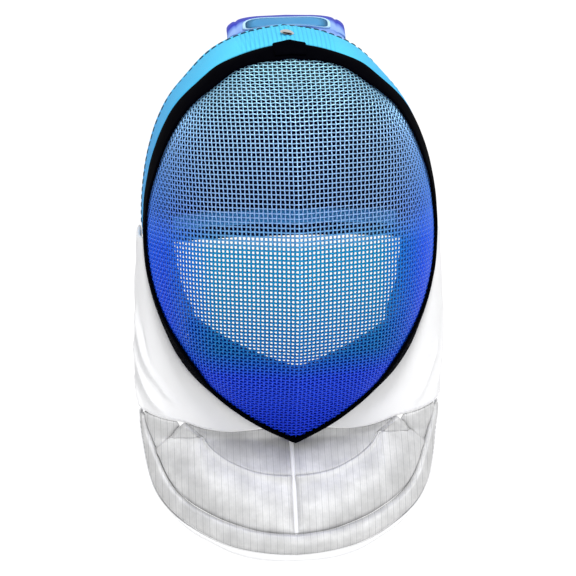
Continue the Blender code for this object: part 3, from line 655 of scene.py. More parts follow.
def linear(code):
    """sRGB hex to linear red, green, blue and alpha."""
    value = int(code.lstrip("#"), 16)
    srgb = np.array([value >> 16 & 255, value >> 8 & 255, value & 255]) / 255
    rgb = np.where(srgb <= 0.04045, srgb / 12.92, ((srgb + 0.055) / 1.055)**2.4)
    return (*rgb.tolist(), 1.0)


def add(tree, kind, inputs=None, **settings):
    """Add a node, set its properties, and set or link its inputs by name or number."""
    made = tree.nodes.new("ShaderNode" + kind)
    for key, value in settings.items():
        setattr(made, key, value)
    for key, value in (inputs or {}).items():
        if isinstance(value, bpy.types.NodeSocket):
            tree.links.new(value, made.inputs[key])
        else:
            made.inputs[key].default_value = value
    return made


def principled(name, **constants):
    """A material with its Principled shader, whose constant sockets are set by name."""
    material = bpy.data.materials.new(name)
    material.use_nodes = True
    tree = material.node_tree
    shader = tree.nodes["Principled BSDF"]
    for key, value in constants.items():
        shader.inputs[key.replace("_", " ")].default_value = value
    return material, tree, shader


def ramp(tree, value, stops):
    """Colour ramp over a socket. Stops are pairs of a place and an sRGB hex colour."""
    made = add(tree, "ValToRGB", {"Fac": value})
    elements = made.color_ramp.elements
    while len(elements) < len(stops):
        elements.new(0.5)
    for element, (place, code) in zip(elements, stops):
        element.position = place
        element.color = linear(code)
    return made.outputs["Color"]


def mixed(tree, value, first, second, blend="MIX"):
    """Mix of two colours by a socket or number. Each may be a socket or an sRGB hex colour."""
    first, second = (linear(c) if isinstance(c, str) else c for c in (first, second))
    made = add(tree, "Mix", {0: value, 6: first, 7: second}, data_type="RGBA", blend_type=blend)
    return made.outputs[2]


def bumped(tree, shader, height, strength, distance):
    """Bump from a height between nought and one, as deep as the distance."""
    made = add(tree, "Bump", {"Height": height, "Strength": strength, "Distance": distance})
    tree.links.new(made.outputs["Normal"], shader.inputs["Normal"])


def woven(tree, pitch):
    """Height of a plain weave: crossed sine waves of one thread's spacing, in the piece's UV."""
    place = add(tree, "TexCoord").outputs["UV"]
    warp, weft = (add(tree, "TexWave", {"Vector": place, "Scale": WAVE / pitch},
                      wave_type="BANDS", bands_direction=axis) for axis in "XY")
    return add(tree, "Math", {0: warp.outputs["Fac"], 1: weft.outputs["Fac"]}, operation="ADD").outputs[0]


def cloth(name, code, shade, pitch, roughness, sheen, bump=0.35, mottle=0.5):
    """Woven cloth: threads at their pitch in the bump, slow unevenness in the colour, and painted shade
    between the threads.
    """
    material, tree, shader = principled(name, Roughness=roughness, Sheen_Weight=sheen, Sheen_Roughness=0.4)
    place = add(tree, "TexCoord").outputs["Object"]
    cloud = add(tree, "TexNoise", {"Vector": place, "Scale": 38.0, "Detail": 4.0, "Roughness": 0.6})
    spread = add(tree, "Math", {0: cloud.outputs["Fac"], 1: mottle}, operation="MULTIPLY").outputs[0]
    colour = mixed(tree, spread, code, shade)
    threads = woven(tree, pitch)
    # Painted shade: the colour darkens towards the shade tone where the weave is low, between the threads
    dark = add(tree, "MapRange", {"Value": threads, "To Min": 0.22, "To Max": 0.0})
    colour = mixed(tree, dark.outputs["Result"], colour, shade)
    tree.links.new(colour, shader.inputs["Base Color"])
    bumped(tree, shader, threads, bump, pitch * 0.4)
    return material, tree, shader


def painted_wire():
    """Steel wire under thin blue paint: glossy, deep blue below and at the sides. Its paler top is painted
    highlight from the light above, and its cyan middle band a painted glow of the backdrop seen through the
    mesh.
    """
    material, tree, shader = principled("painted_steel_wire", Metallic=0.55, Roughness=0.3, Coat_Weight=0.15,
                                   Coat_Roughness=0.15, Specular_IOR_Level=0.2)
    place = add(tree, "TexCoord").outputs["Object"]
    axes = add(tree, "SeparateXYZ", {0: place}).outputs
    height = add(tree, "MapRange", {"Value": axes["Z"], "From Min": RIM_TIP_Z, "From Max": RIM_TOP_Z})
    outwards = add(tree, "Math", {0: axes["X"]}, operation="ABSOLUTE").outputs[0]
    side = add(tree, "MapRange", {"Value": outwards, "From Min": 0.055, "From Max": 0.088})
    # Both height ramps pale towards the top as painted highlight; the middle one is also cyan from 0.26 to
    # 0.53 of the height, a painted glow of the backdrop seen through the mesh
    middle = ramp(tree, height.outputs["Result"], (
        (0.00, "#1038DC"), (0.19, "#1A4CE4"), (0.26, "#0870BE"), (0.40, "#0884BE"), (0.53, "#088EC4"),
        (0.61, "#94BCF0"), (0.80, "#A8D2F8"), (1.00, "#B4F0FF"),
    ))
    edge = ramp(tree, height.outputs["Result"], (
        (0.00, "#0C34D8"), (0.30, "#1048E4"), (0.52, "#1A60EC"), (0.66, "#649CF0"), (0.80, "#8CC0F4"),
        (1.00, "#A4E4FC"),
    ))
    colour = mixed(tree, side.outputs["Result"], middle, edge)
    tree.links.new(colour, shader.inputs["Base Color"])
    grain = add(tree, "TexNoise", {"Vector": place, "Scale": 900.0, "Detail": 2.0})
    bumped(tree, shader, grain.outputs["Fac"], 0.15, 0.0001)
    return material


def rubberised_tape():
    """Rubber-coated fabric tape: nearly black, dull, with a fine cloth grain pressed through."""
    material, tree, shader = principled("rubberised_tape", Roughness=0.8, Specular_IOR_Level=0.01)
    place = add(tree, "TexCoord").outputs["Object"]
    cloud = add(tree, "TexNoise", {"Vector": place, "Scale": 130.0, "Detail": 5.0, "Roughness": 0.7})
    tree.links.new(mixed(tree, cloud.outputs["Fac"], "#000002", "#040409"), shader.inputs["Base Color"])
    grain = add(tree, "TexNoise", {"Vector": place, "Scale": 1500.0, "Detail": 2.0})
    height = add(tree, "Math", {0: grain.outputs["Fac"], 1: cloud.outputs["Fac"]}, operation="ADD").outputs[0]
    bumped(tree, shader, height, 0.3, 0.0003)
    return material


def crown_polyester():
    """Light blue polyester over the crown: a fine plain weave, with painted shade between its ribs and
    towards its sides.
    """
    material, tree, shader = cloth("crown_polyester", "#5CDCFF", "#38A4EC", 0.0007, 0.8, 0.05,
                                   bump=0.3, mottle=0.3)
    shader.inputs["Specular IOR Level"].default_value = 0.15
    axes = add(tree, "SeparateXYZ", {0: add(tree, "TexCoord").outputs["Object"]}).outputs
    # Painted shade in the hollows between the ribs, over the middle of the crown
    phase = add(tree, "Math", {0: axes["X"], 1: 2 * np.pi / RIB_PITCH}, operation="MULTIPLY").outputs[0]
    hollow = add(tree, "Math", {0: phase}, operation="COSINE").outputs[0]
    between = add(tree, "MapRange", {"Value": hollow, "From Min": -0.3, "From Max": -1.0, "To Max": 0.32})
    outwards = add(tree, "Math", {0: axes["X"]}, operation="ABSOLUTE").outputs[0]
    reach = {"From Min": RIB_REACH, "From Max": RIB_REACH - RIB_FADE}
    inside = add(tree, "MapRange", {"Value": outwards, **reach}).outputs["Result"]
    mask = add(tree, "Math", {0: between.outputs["Result"], 1: inside}, operation="MULTIPLY")
    plain = shader.inputs["Base Color"].links[0].from_socket
    # Painted shade: the cloth darkens towards the sides, which face away from the light
    side_shade = add(tree, "MapRange", {"Value": outwards, "From Min": 0.035, "From Max": 0.1, "To Max": 0.75})
    plain = mixed(tree, side_shade.outputs["Result"], plain, "#3494E0")
    tree.links.new(mixed(tree, mask.outputs[0], plain, "#1C7CC4"), shader.inputs["Base Color"])
    return material


def navy_knit():
    """Brushed knit lining: dark navy, matt, with loops of about a millimetre."""
    material, _, shader = cloth("navy_knit", "#020A38", "#00031C", 0.0012, 0.95, 0.0, bump=0.6)
    shader.inputs["Specular IOR Level"].default_value = 0.05
    return material


def chin_velour():
    """Deep blue velour on the chin padding: soft, with a faint bright nap."""
    material, _, shader = cloth("chin_velour", "#0426C8", "#021690", 0.0010, 0.9, 0.05)
    shader.inputs["Specular IOR Level"].default_value = 0.1
    return material


def elastic_webbing():
    """Ribbed elastic: mid blue, with cords across the band about a millimetre and a half apart, painted
    lighter on the cords and darker between them as painted light and shade.
    """
    material, tree, shader = principled("elastic_webbing", Roughness=0.85, Sheen_Weight=0.2)
    place = add(tree, "TexCoord").outputs["UV"]
    ribs = add(tree, "TexWave", {"Vector": place, "Scale": WAVE / 0.0015}, bands_direction="X")
    # Painted light and shade: lighter on the raised cords, darker in the grooves between them
    tree.links.new(mixed(tree, ribs.outputs["Fac"], "#1E8CE8", "#5CC0FF"), shader.inputs["Base Color"])
    bumped(tree, shader, ribs.outputs["Fac"], 0.5, 0.0003)
    return material


def coated_tongue():
    """Coated fabric over the tongue: deep blue with a leather grain. It is painted pale lilac blue on the
    slope that faces forwards, below the crest, and stays deep blue past the crest, where it turns away:
    painted light and shade."""
    material, tree, shader = principled("coated_fabric", Roughness=0.35, Specular_IOR_Level=0.25)
    place = add(tree, "TexCoord").outputs["Object"]
    cloud = add(tree, "TexNoise", {"Vector": place, "Scale": 26.0, "Detail": 3.0})
    deep = mixed(tree, cloud.outputs["Fac"], "#0628D0", "#0214A4")
    pale = mixed(tree, cloud.outputs["Fac"], "#A4C8F8", "#7C9CEC")
    rise = add(tree, "SeparateXYZ", {0: place}).outputs
    # Painted light and shade: pale on the slope that faces forwards into the light, deep blue past the crest
    slope = add(tree, "MapRange", {"Value": rise["Y"], "From Min": 0.044, "From Max": 0.049})
    tree.links.new(mixed(tree, slope.outputs["Result"], pale, deep), shader.inputs["Base Color"])
    grain = add(tree, "TexVoronoi", {"Vector": place, "Scale": 900.0}, feature="DISTANCE_TO_EDGE")
    bumped(tree, shader, grain.outputs["Distance"], 0.35, 0.0002)
    return material


def moulded_plate(name, code, shade):
    """Moulded soft plastic: even colour, smooth, with a satin gloss and slight mould marks."""
    material, tree, shader = principled(name, Roughness=0.35)
    place = add(tree, "TexCoord").outputs["Object"]
    cloud = add(tree, "TexNoise", {"Vector": place, "Scale": 60.0, "Detail": 3.0})
    tree.links.new(mixed(tree, cloud.outputs["Fac"], code, shade), shader.inputs["Base Color"])
    bumped(tree, shader, cloud.outputs["Fac"], 0.1, 0.0004)
    return material


def white_canvas():
    """Bleached protective canvas: white twill with a soft shadow in its hollows."""
    return cloth("white_canvas", "#F4F4F5", "#E4E5E8", 0.0008, 0.85, 0.15, bump=0.25, mottle=0.35)[0]


def silver_cloth():
    """Conductive cloth: metal-wound threads with a fine dark warp every 4.6 mm and fainter ones
    between, so it is grey with a bright glint. The fine threads are drawn 1.5 mm apart."""
    material, tree, shader = principled("conductive_cloth", Metallic=0.25, Roughness=0.45, Sheen_Weight=0.1)
    place = add(tree, "TexCoord").outputs["Object"]
    across = add(tree, "SeparateXYZ", {0: place}).outputs["X"]
    cloud = add(tree, "TexNoise", {"Vector": place, "Scale": 55.0, "Detail": 5.0, "Roughness": 0.65})
    shake = add(tree, "Math", {0: cloud.outputs["Fac"], 1: 0.0006}, operation="MULTIPLY").outputs[0]
    moved = add(tree, "Math", {0: across, 1: shake}, operation="ADD").outputs[0]
    marks = []
    for pitch, width in ((0.0046, 0.07), (0.00153, 0.2)):
        phase = add(tree, "Math", {0: moved, 1: pitch, 2: 0.0}, operation="WRAP").outputs[0]
        share = add(tree, "Math", {0: phase, 1: pitch}, operation="DIVIDE").outputs[0]
        off = add(tree, "Math", {0: share, 1: 0.5}, operation="SUBTRACT").outputs[0]
        near = add(tree, "Math", {0: off}, operation="ABSOLUTE").outputs[0]
        line = add(tree, "MapRange", {"Value": near, "From Max": width, "To Min": 1.0, "To Max": 0.0})
        marks.append(line.outputs["Result"])
    fine = add(tree, "Math", {0: marks[1], 1: 0.28}, operation="MULTIPLY").outputs[0]
    both = add(tree, "Math", {0: marks[0], 1: fine}, operation="MAXIMUM").outputs[0]
    mask = add(tree, "Math", {0: both, 1: 0.62}, operation="MULTIPLY").outputs[0]
    ground = ramp(tree, cloud.outputs["Fac"], ((0.35, "#BCBCBC"), (0.5, "#C8C8C8"), (0.65, "#D6D6D6")))
    tree.links.new(mixed(tree, mask, ground, "#8C8E90"), shader.inputs["Base Color"])
    bumped(tree, shader, woven(tree, 0.0007), 0.25, 0.0003)
    return material


def polished_steel():
    """Nickel-plated steel rivet: bright on top; where it faces forwards its colour is painted near black, a
    painted reflection of the black tape and painted shadow under its flange.
    """
    material, tree, shader = principled("nickel_plated_steel", Metallic=1.0, Roughness=0.3)
    lookup = add(tree, "TexCoord").outputs
    facing = add(tree, "SeparateXYZ", {0: lookup["Normal"]}).outputs["Y"]
    turned = add(tree, "MapRange", {"Value": facing, "From Min": -1.0, "From Max": 0.0}).outputs["Result"]
    # Painted reflection and shadow: near black where the rivet faces forwards
    painted_reflection = ramp(tree, turned, ((0.30, "#0C0C10"), (0.48, "#FCFCFC")))
    tree.links.new(painted_reflection, shader.inputs["Base Color"])
    marks = add(tree, "TexNoise", {"Vector": lookup["Object"], "Scale": 2500.0, "Detail": 2.0})
    bumped(tree, shader, marks.outputs["Fac"], 0.1, 0.0001)
    return material


def thread(name, code, shade):
    """Twisted polyester thread: two tones along its twist."""
    material, tree, shader = principled(name, Roughness=0.6, Sheen_Weight=0.2)
    place = add(tree, "TexCoord").outputs["UV"]
    twist = add(tree, "TexWave", {"Vector": place, "Scale": 900.0}, bands_direction="DIAGONAL")
    tree.links.new(mixed(tree, twist.outputs["Fac"], code, shade), shader.inputs["Base Color"])
    return material


def pale_floor():
    """Matt painted floor, all but white, with a slow unevenness."""
    material, tree, shader = principled("pale_studio_floor", Roughness=0.9, Specular_IOR_Level=0.1)
    place = add(tree, "TexCoord").outputs["Object"]
    cloud = add(tree, "TexNoise", {"Vector": place, "Scale": 1.5, "Detail": 2.0})
    tree.links.new(mixed(tree, cloud.outputs["Fac"], "#FFFFFF", "#FBFBFB"), shader.inputs["Base Color"])
    return material


# Wire face

def face_normal(x, z):
    """Outward normal of the wire face from the differences of its Y over X and over Z."""
    step = 0.0003
    slope_x = (face_y(x + step, z) - face_y(x - step, z)) / (2 * step)
    slope_z = (face_y(x, z + step) - face_y(x, z - step)) / (2 * step)
    return unit(np.stack([slope_x, -np.ones_like(slope_x), slope_z], axis=-1))


def wire_lattice():
    """Places of the weave every half pitch, and which of them lie on the face.

    Rows are level sections half a pitch apart along the ridge, and columns stand half a
    pitch apart along each section on both sides of the ridge.
    """
    z = np.linspace(RIM_TOP_Z, RIM_TIP_Z, 4001)
    run = lengths(np.stack([0 * z, ridge_y(z), z], axis=-1), 0)
    count = int(run[-1] / (WIRE_PITCH / 2))
    levels = np.interp((np.arange(count) + 0.5) * WIRE_PITCH / 2, run, z)
    across = rim_at_height(levels)[0][:, None] * np.sin(np.linspace(0, HALF_TURN, 500))[None, :]
    height = levels[:, None] + 0 * across
    run = lengths(np.stack([across, face_y(across, height), height], axis=-1), 1)
    half = int(run.max() / (WIRE_PITCH / 2))
    reach = np.arange(half + 1) * WIRE_PITCH / 2
    x = np.stack([np.interp(reach, run[k], across[k]) for k in range(count)])
    inside = reach[None, :] < run[:, -1:] - WIRE_RADIUS[1]
    x = np.concatenate([-x[:, :0:-1], x], axis=1)
    inside = np.concatenate([inside[:, :0:-1], inside], axis=1)
    z = levels[:, None] + 0 * x
    return np.stack([x, face_y(x, z), z], axis=-1), face_normal(x, z), inside, half


def build_wires(material):
    """Warp and weft: each wire waves over and under the ones that it crosses."""
    points, normals, inside, half = wire_lattice()
    row = np.arange(points.shape[0])[:, None] + 0 * inside
    column = np.arange(points.shape[1])[None, :] - half + 0 * inside
    crossing = (row % 2 == 0) & (column % 2 == 0)
    over = np.where(crossing, np.where((row // 2 + column // 2) % 2 == 0, 1.0, -1.0), 0.0)
    low = np.clip((THICK_Z - points[..., 2]) / THICK_FADE, 0, 1)
    radius = WIRE_RADIUS[0] + (WIRE_RADIUS[1] - WIRE_RADIUS[0]) * low
    wefts, warps = [], []
    for k in range(0, points.shape[0], 2):
        keep = inside[k]
        if keep.sum() > 3:
            line = points[k, keep] + normals[k, keep] * (WIRE_CRIMP * over[k, keep])[:, None]
            wefts.append(tube_rings(line, normals[k, keep], radius[k, keep]))
    for j in range(half % 2, points.shape[1], 2):
        keep = inside[:, j]
        if keep.sum() > 3:
            line = points[keep, j] - normals[keep, j] * (WIRE_CRIMP * over[keep, j])[:, None]
            warps.append(tube_rings(line, normals[keep, j], radius[keep, j]))
    return tubes("wire_weft", wefts, material), tubes("wire_warp", warps, material)


# Trim

def build_trim(material):
    """Tape folded over the rim: flat front with a rounded lip, a round fold and a short back."""
    shares = np.linspace(0, 1, 260)
    width = TRIM_WIDTH * through(TRIM_ROWS, shares)
    low = FACE_WALL / 2 + TRIM_GAP
    lip = np.sin(np.linspace(0, HALF_TURN, 6))
    fold = np.linspace(0, np.pi, 11)[1:-1]
    front = width[:, None] * np.linspace(1, 0, 18)[None, :]**1.3
    rounded = width[:, None] + TRIM_LIP * (np.cos(np.linspace(0, HALF_TURN, 6)) - 1.0)[None, :]
    run = np.concatenate([rounded, front[:, 1:], front[:, ::-3]], axis=1)
    height = np.concatenate([low + (TRIM_PROUD - low) * lip, np.full(17, TRIM_PROUD), np.full(6, low)])
    points, normals, lead = band(shares, run)
    swell = 0.00018 * wander(points, 0.011) * (height > low * 1.01)
    laid = points + normals * (height + swell)[..., None]
    edge = rim(shares)[:, None]
    face = normals[:, 22:23]
    lead = lead[:, None]
    turned = edge - lead * (TRIM_END * np.sin(fold))[None, :, None]
    turned = turned + face * (TRIM_PROUD * np.cos(fold))[None, :, None]
    back = TRIM_RETURN * np.array([0.0, 0.5, 0.9, 1.0, 1.0, 0.5, -TRIM_GAP / TRIM_RETURN])
    depth = np.array([1, 1, 1, 0.9, 0.55, 0.55, 0.55]) * TRIM_PROUD
    depth[-3:] = low
    behind = edge + lead * back[None, :, None] - face * depth[None, :, None]
    ring = np.concatenate([laid[:, :23], turned, behind, laid[:, 23:]], axis=1)
    ring[0, :, 0] = 0.0
    ring[-1, :, 0] = 0.0
    other = ring[1:-1] * np.array([-1.0, 1.0, 1.0])
    whole = np.concatenate([ring, other[::-1], ring[:1]])
    return surface("trim_tape", whole, material, ring=True, closed=True)


def build_tab(material):
    """Overlap of the tape at the top centre: a short strip laid over it and round the rim."""
    edge_share = share_at_width(TAB_HALF_WIDTH)
    shares = np.linspace(0, edge_share, 14)
    run = np.broadcast_to(np.linspace(0.0, TAB_LENGTH, 22), (14, 22))
    points, normals, lead = band(shares, run)
    high = TRIM_PROUD + GAP / 2
    top = high + TAB_WALL
    front = points + normals * top
    back = points + normals * high
    lead = lead[:, None]
    face = normals[:, :1]
    turn = np.linspace(HALF_TURN, 0, 8)[None, :-1, None]
    around = points[:, :1] - lead * TRIM_END * np.sin(turn)
    turned = around - lead * TAB_WALL * np.sin(turn) + face * top * np.cos(turn)
    front = np.concatenate([turned, front], axis=1)
    back = np.concatenate([around + face * high * np.cos(turn), back], axis=1)
    both = [np.concatenate([g[:0:-1] * np.array([-1.0, 1.0, 1.0]), g]) for g in (front, back)]
    return pad("trim_overlap", both[0], both[1], material, edge=0.0010)


# Crown

def grid_normals(grid):
    """Cross product of a grid's steps down and across it, at unit length."""
    return unit(np.cross(np.gradient(grid, axis=0), np.gradient(grid, axis=1)))


def crown_shares():
    """Shares round the rim from ear to ear, closest over the ribs."""
    middle = share_at_width(RIB_REACH) + 0.01
    side = np.linspace(middle, EAR - 0.001, 70)
    return np.concatenate([-side[::-1], np.linspace(-middle, middle, 230)[1:-1], side])


def build_crown(material):
    """Cloth band with ribs that run from front to back over its middle, each a raised cosine."""
    shares = crown_shares()
    depth = eased(44, CROWN_START, CROWN_DEPTH)
    s, d = np.meshgrid(shares, depth, indexing="ij")
    front = crown_point(s, d)
    back = crown_point(s, d, CROWN_WALL)
    out = unit(front - back)
    edge = rim(np.abs(shares))
    edge[:, 0] *= np.sign(shares)
    rim_run = lengths(edge, 0)
    rim_run = rim_run - rim_run[len(shares) // 2]
    fade = np.clip((RIB_REACH - np.abs(rim_run)) / RIB_FADE, 0, 1)
    rib = fade * RIB_HEIGHT * np.cos(np.pi * rim_run / RIB_PITCH)**2
    behind = d - stitch_depth(s)
    ends = np.clip(np.minimum(d - CROWN_START, -0.002 - behind) / 0.004, 0, 1)
    dimple = CROWN_DIMPLE[0] * bell(behind, CROWN_DIMPLE[1])
    rise = rib[:, None] * ends - dimple + CLOTH_WAVE * wander(front, 0.016)
    return pad("crown_cloth", front + out * rise[..., None], back, material, edge=0.0014)


def build_crown_edge(material):
    """Binding round the crown's rear edge: a squared-up ring carried along it."""
    shares = crown_shares()[::2]
    turn = np.linspace(0, 2 * np.pi, 17)[:-1]
    depth = CROWN_DEPTH + GAP + CROWN_BINDING * (0.5 + 0.5 * power(np.cos(turn), 0.7))
    inset = 0.0008 + 0.0013 * power(np.sin(turn), 0.7)
    s, d = np.meshgrid(shares, depth, indexing="ij")
    rings = crown_point(s, d, inset[None, :] + 0 * s)
    ends = [np.repeat(rings[k].mean(axis=0)[None, None], len(turn), axis=1) for k in (0, -1)]
    whole = np.concatenate([ends[0], rings, ends[1]])
    return surface("crown_binding_cloth", whole, material, ring=True, closed=True)


def stitch_depth(shares):
    """Depth of the stitched row, which runs back from the top centre to the ears."""
    return STITCH_DEPTH[0] + (STITCH_DEPTH[1] - STITCH_DEPTH[0]) * np.clip(np.abs(shares) / 0.2, 0, 1)


def build_crown_stitches(material):
    """Row of dark stitches from ear to ear, a little sunk in the crown."""
    shares = np.linspace(-EAR + 0.01, EAR - 0.01, 900)
    line = crown_point(shares, stitch_depth(shares))
    normals = unit(line - crown_point(shares, stitch_depth(shares), 0.001))
    return stitches("crown_stitches", line - normals * 0.0002, normals, material, CROWN_STITCH)


def build_rivet(material):
    """Domed rivet: a turned profile of a thin flange and a quarter ellipse."""
    near = ((0.0, 0.0), (0.0, 0.002), (0.01, 0.0))
    centre, ahead, aside = (crown_point(np.array(share), np.array(RIVET_DEPTH + further))
                            for share, further in near)
    back = unit(ahead - centre)
    out = unit(np.cross(aside - centre, back))
    out = out * np.sign(out[2])
    cross = np.cross(back, out)
    turn = np.linspace(0, 2 * np.pi, 41)[:-1]
    circle = np.cos(turn)[:, None] * cross + np.sin(turn)[:, None] * back
    arc = np.linspace(0, HALF_TURN, 9)
    radius = np.concatenate([[0.0, 1.0, 1.0, 0.93], 0.86 * np.cos(arc)]) * RIVET_RADIUS
    height = np.concatenate([[0.0, 0.0, 0.20, 0.28], 0.28 + 0.72 * np.sin(arc)]) * RIVET_HEIGHT + GAP
    rings = centre + circle[None] * radius[:, None, None] + out * height[:, None, None]
    return surface("rivet_dome", rings, material, ring=True, closed=True)


# Padding

def closed_ends(rings, reach):
    """Rings with both ends rounded off over a few rings and shut at their middles."""
    middle = rings.mean(axis=1, keepdims=True)
    run = lengths(middle[:, 0], 0)
    r = np.clip(np.minimum(run, run[-1] - run) / reach, 0, 1)[:, None, None]
    return middle + (rings - middle) * np.sqrt(np.maximum(1 - (1 - r)**2, 0.0))


def build_head_lining(material):
    """Lining from cheek to cheek: a squared-up ring whose inner side is padded and uneven."""
    shares = eased(150, -LINING_END, LINING_END)
    turn = np.linspace(0, 2 * np.pi, 49)[:-1]
    thick = HEAD_PAD + (CHEEK_PAD - HEAD_PAD) * through(ROUND_ROWS, np.abs(shares), 2)
    first = CROWN_START + 0.0008
    depth = (first + LINING_DEPTH) / 2 + (LINING_DEPTH - first) / 2 * power(np.cos(turn), 0.55)
    into = 0.5 - 0.5 * power(np.sin(turn), 0.6)
    s, d = np.meshgrid(shares, depth, indexing="ij")
    outer = crown_point(s, d, CROWN_WALL + 2 * GAP)
    way = inward(rim(np.abs(s)))
    way[..., 0] *= np.where(s < 0, -1.0, 1.0)
    deep = thick[:, None] * into[None, :] * (0.97 + 0.03 * wander(outer, 0.014))
    rings = closed_ends(outer + way * deep[..., None], 0.010)
    return surface("lining_pad", rings, material, ring=True, closed=True)


def build_back_pad(material):
    """Back pad: a padded shell that starts against the lining, with a sewn margin along its hem."""
    s, d = np.meshgrid(eased(110, -EAR, EAR), eased(80, BACK_START, 1.0), indexing="ij")
    front = back_curve(s, d)
    out = grid_normals(front)
    from_head = front - np.array([0.0, 0.02, -0.08])
    out = out * np.where((out * from_head).sum(axis=-1) < 0, -1.0, 1.0)[..., None]
    from_hem = lengths(front, 1)[:, -1:] - lengths(front, 1)
    deep, wide, place = BACK_GROOVE
    groove = deep * bell(from_hem - place, wide)
    shape = 0.0005 * wander(front, 0.018) - groove
    return pad("back_padding", front + out * shape[..., None], front - out * BACK_WALL, material, edge=0.0045)


def build_back_strap(material):
    """Elastic round the inside of the back pad, at one height over its hem."""
    turn = np.linspace(-STRAP_ANGLE, STRAP_ANGLE, 141) / 90.0
    share = EAR * np.sign(turn) * np.sqrt(np.abs(turn))
    fine = back_curve(*np.meshgrid(share, np.linspace(0, 1, 200), indexing="ij"))
    low = RIM_TOP_Z - BACK_HEM + STRAP_ABOVE_HEM
    levels = low + STRAP_HEIGHT * np.linspace(0, 1, 9)
    padded = np.array([[read_along(line, -line[:, 2], -z) for line in fine] for z in levels])
    course = np.gradient(padded, axis=1)
    out = unit(np.stack([-course[..., 1], course[..., 0], 0 * course[..., 2]], axis=-1))
    front = padded - out * (BACK_WALL + GAP)
    return pad("back_webbing", front, front - out * STRAP_WALL, material, edge=0.0005)


def build_chin_padding(material):
    """Padding behind the lower wires: follows the face at one distance, with soft edges."""
    across = CHIN_PAD_HALF * np.linspace(-1, 1, 91)
    lower_half = RIM_FINE[len(RIM_FINE) // 2:]
    low = RIM_TOP_Z - np.interp(np.abs(across), lower_half[::-1, 2], lower_half[::-1, 1])
    low = low + CHIN_PAD_EDGE * (0.05 + 0.20 * np.abs(across) / CHIN_PAD_HALF)
    high = RIM_TIP_Z + CHIN_PAD_RISE * (1 + 0.62 * (np.abs(across) / CHIN_PAD_HALF)**1.4)
    mix = eased(36)[:, None]
    z = high * (1 - mix) + low * mix
    x = across + 0 * z
    into = -face_normal(x, z)
    near = np.stack([x, face_y(x, z), z], axis=-1) + into * (FACE_WALL / 2 + GAP)
    puff = 0.0006 * wander(near, 0.013)
    return pad("chin_padding", near, near + into * (CHIN_PAD_WALL + puff)[..., None], material, edge=0.0025)


# Tongue

def build_tongue(material):
    """Sprung tongue: squared-up rings along its curve, with a sewn groove inside its edge."""
    station = np.linspace(0, len(TONGUE_ROWS) - 1, 150)
    turn = np.linspace(0, 2 * np.pi, 73)[:-1]
    number = np.arange(len(TONGUE_ROWS), dtype=float)
    rows = np.column_stack([number, TONGUE_ROWS])
    thick = TONGUE_WALL * through(rows, station, 4)
    s, _ = np.meshgrid(station, turn, indexing="ij")
    across = power(np.cos(turn), 0.30)[None, :] + 0 * s
    sunk = thick[:, None] * (0.5 - 0.5 * power(np.sin(turn), 0.55))[None, :]
    outside = np.sin(turn)[None, :] > 0.2
    edge = (1 - np.abs(across)) * TONGUE_HALF_WIDTH
    deep, wide, place = TONGUE_GROOVE
    groove = deep * bell(edge - place, wide) * outside
    swell = -0.0004 * wander(tongue_face(s, across), 0.02) * outside
    rings = closed_ends(tongue_face(s, across, sunk + groove + swell), 0.006)
    return surface("tongue_padding", rings, material, ring=True, closed=True)


def badge_outline(scale, lift, count=120):
    """Squared-up ring on the tongue, at a scale of the plate's size and a lift off the cloth."""
    first, last = BADGE_STATIONS
    turn = np.linspace(0, 2 * np.pi, count + 1)[:-1]
    station = (first + last) / 2 + (last - first) / 2 * scale * power(np.sin(turn), 0.5)
    across = BADGE_HALF_WIDTH / TONGUE_HALF_WIDTH * scale * power(np.cos(turn), 0.32)
    return tongue_face(station, across, -lift)


def build_badge(plate_material, frame_material):
    """Bare plate with rounded corners and the raised frame that holds it."""
    scale = np.concatenate([[0.0, 0.35, 0.7], np.linspace(0.9, 0.95, 4), [0.95, 0.7, 0.35, 0.0]])
    lift = GAP + np.concatenate([[0.0] * 3, [0.0, 0.0002, 0.0006, 0.0007], [0.0007] * 4])
    plate = surface("badge_inset", np.stack([badge_outline(s, h) for s, h in zip(scale, lift)]),
                    plate_material, ring=True, closed=True)
    turn = np.linspace(0, 2 * np.pi, 13)[:-1]
    rings = [badge_outline(0.97 + 0.035 * np.cos(t), GAP + 0.0006 + 0.0006 * np.sin(t)) for t in turn]
    around = np.stack(rings, axis=1)
    whole = np.concatenate([around, around[:1]])
    frame_piece = surface("badge_frame", whole, frame_material, ring=True, closed=True)
    return plate, frame_piece


# Bib

def folds(turn, down):
    """Height of the cloth's folds: each a bell across a straight line, fading at its ends."""
    total = np.zeros_like(turn)
    for turn_a, down_a, turn_b, down_b, width, height in SIDE_FOLDS:
        start = np.array([turn_a * BIB_QUARTER, down_a * BIB_HEIGHT])
        way = np.array([turn_b * BIB_QUARTER, down_b * BIB_HEIGHT]) - start
        off = np.stack([turn * BIB_QUARTER, down * BIB_HEIGHT], axis=-1) - start
        share = off @ way / (way @ way)
        across = np.linalg.norm(off - share[..., None] * way, axis=-1)
        fade = np.exp(-np.clip(np.abs(share - 0.5) - 0.35, 0, None)**2 / 0.03)
        total += height / 1000 * bell(across * 1000, width) * fade
    return total


def smooth_seam(seam, share):
    """Seam through its points, read at shares of their count."""
    table = np.column_stack([np.linspace(0, 1, len(seam)), seam])
    return np.stack([through(table, share, 1), through(table, share, 2)], axis=-1)


def panel_places(upper, lower, rows, share, paired=False):
    """Turn and height down over a panel between two seams, held back from each by a gap."""
    read = smooth_seam if paired else along
    top, bottom = read(upper, share), read(lower, share)
    apart = np.linalg.norm(bib_point(*bottom.T) - bib_point(*top.T), axis=1)
    hold = SEAM_GAP / np.maximum(apart, 4 * SEAM_GAP)
    mix = eased(rows)[:, None] * (1 - 2 * hold) + hold
    flat = top[None] * (1 - mix[..., None]) + bottom[None] * mix[..., None]
    return flat[..., 0], flat[..., 1]


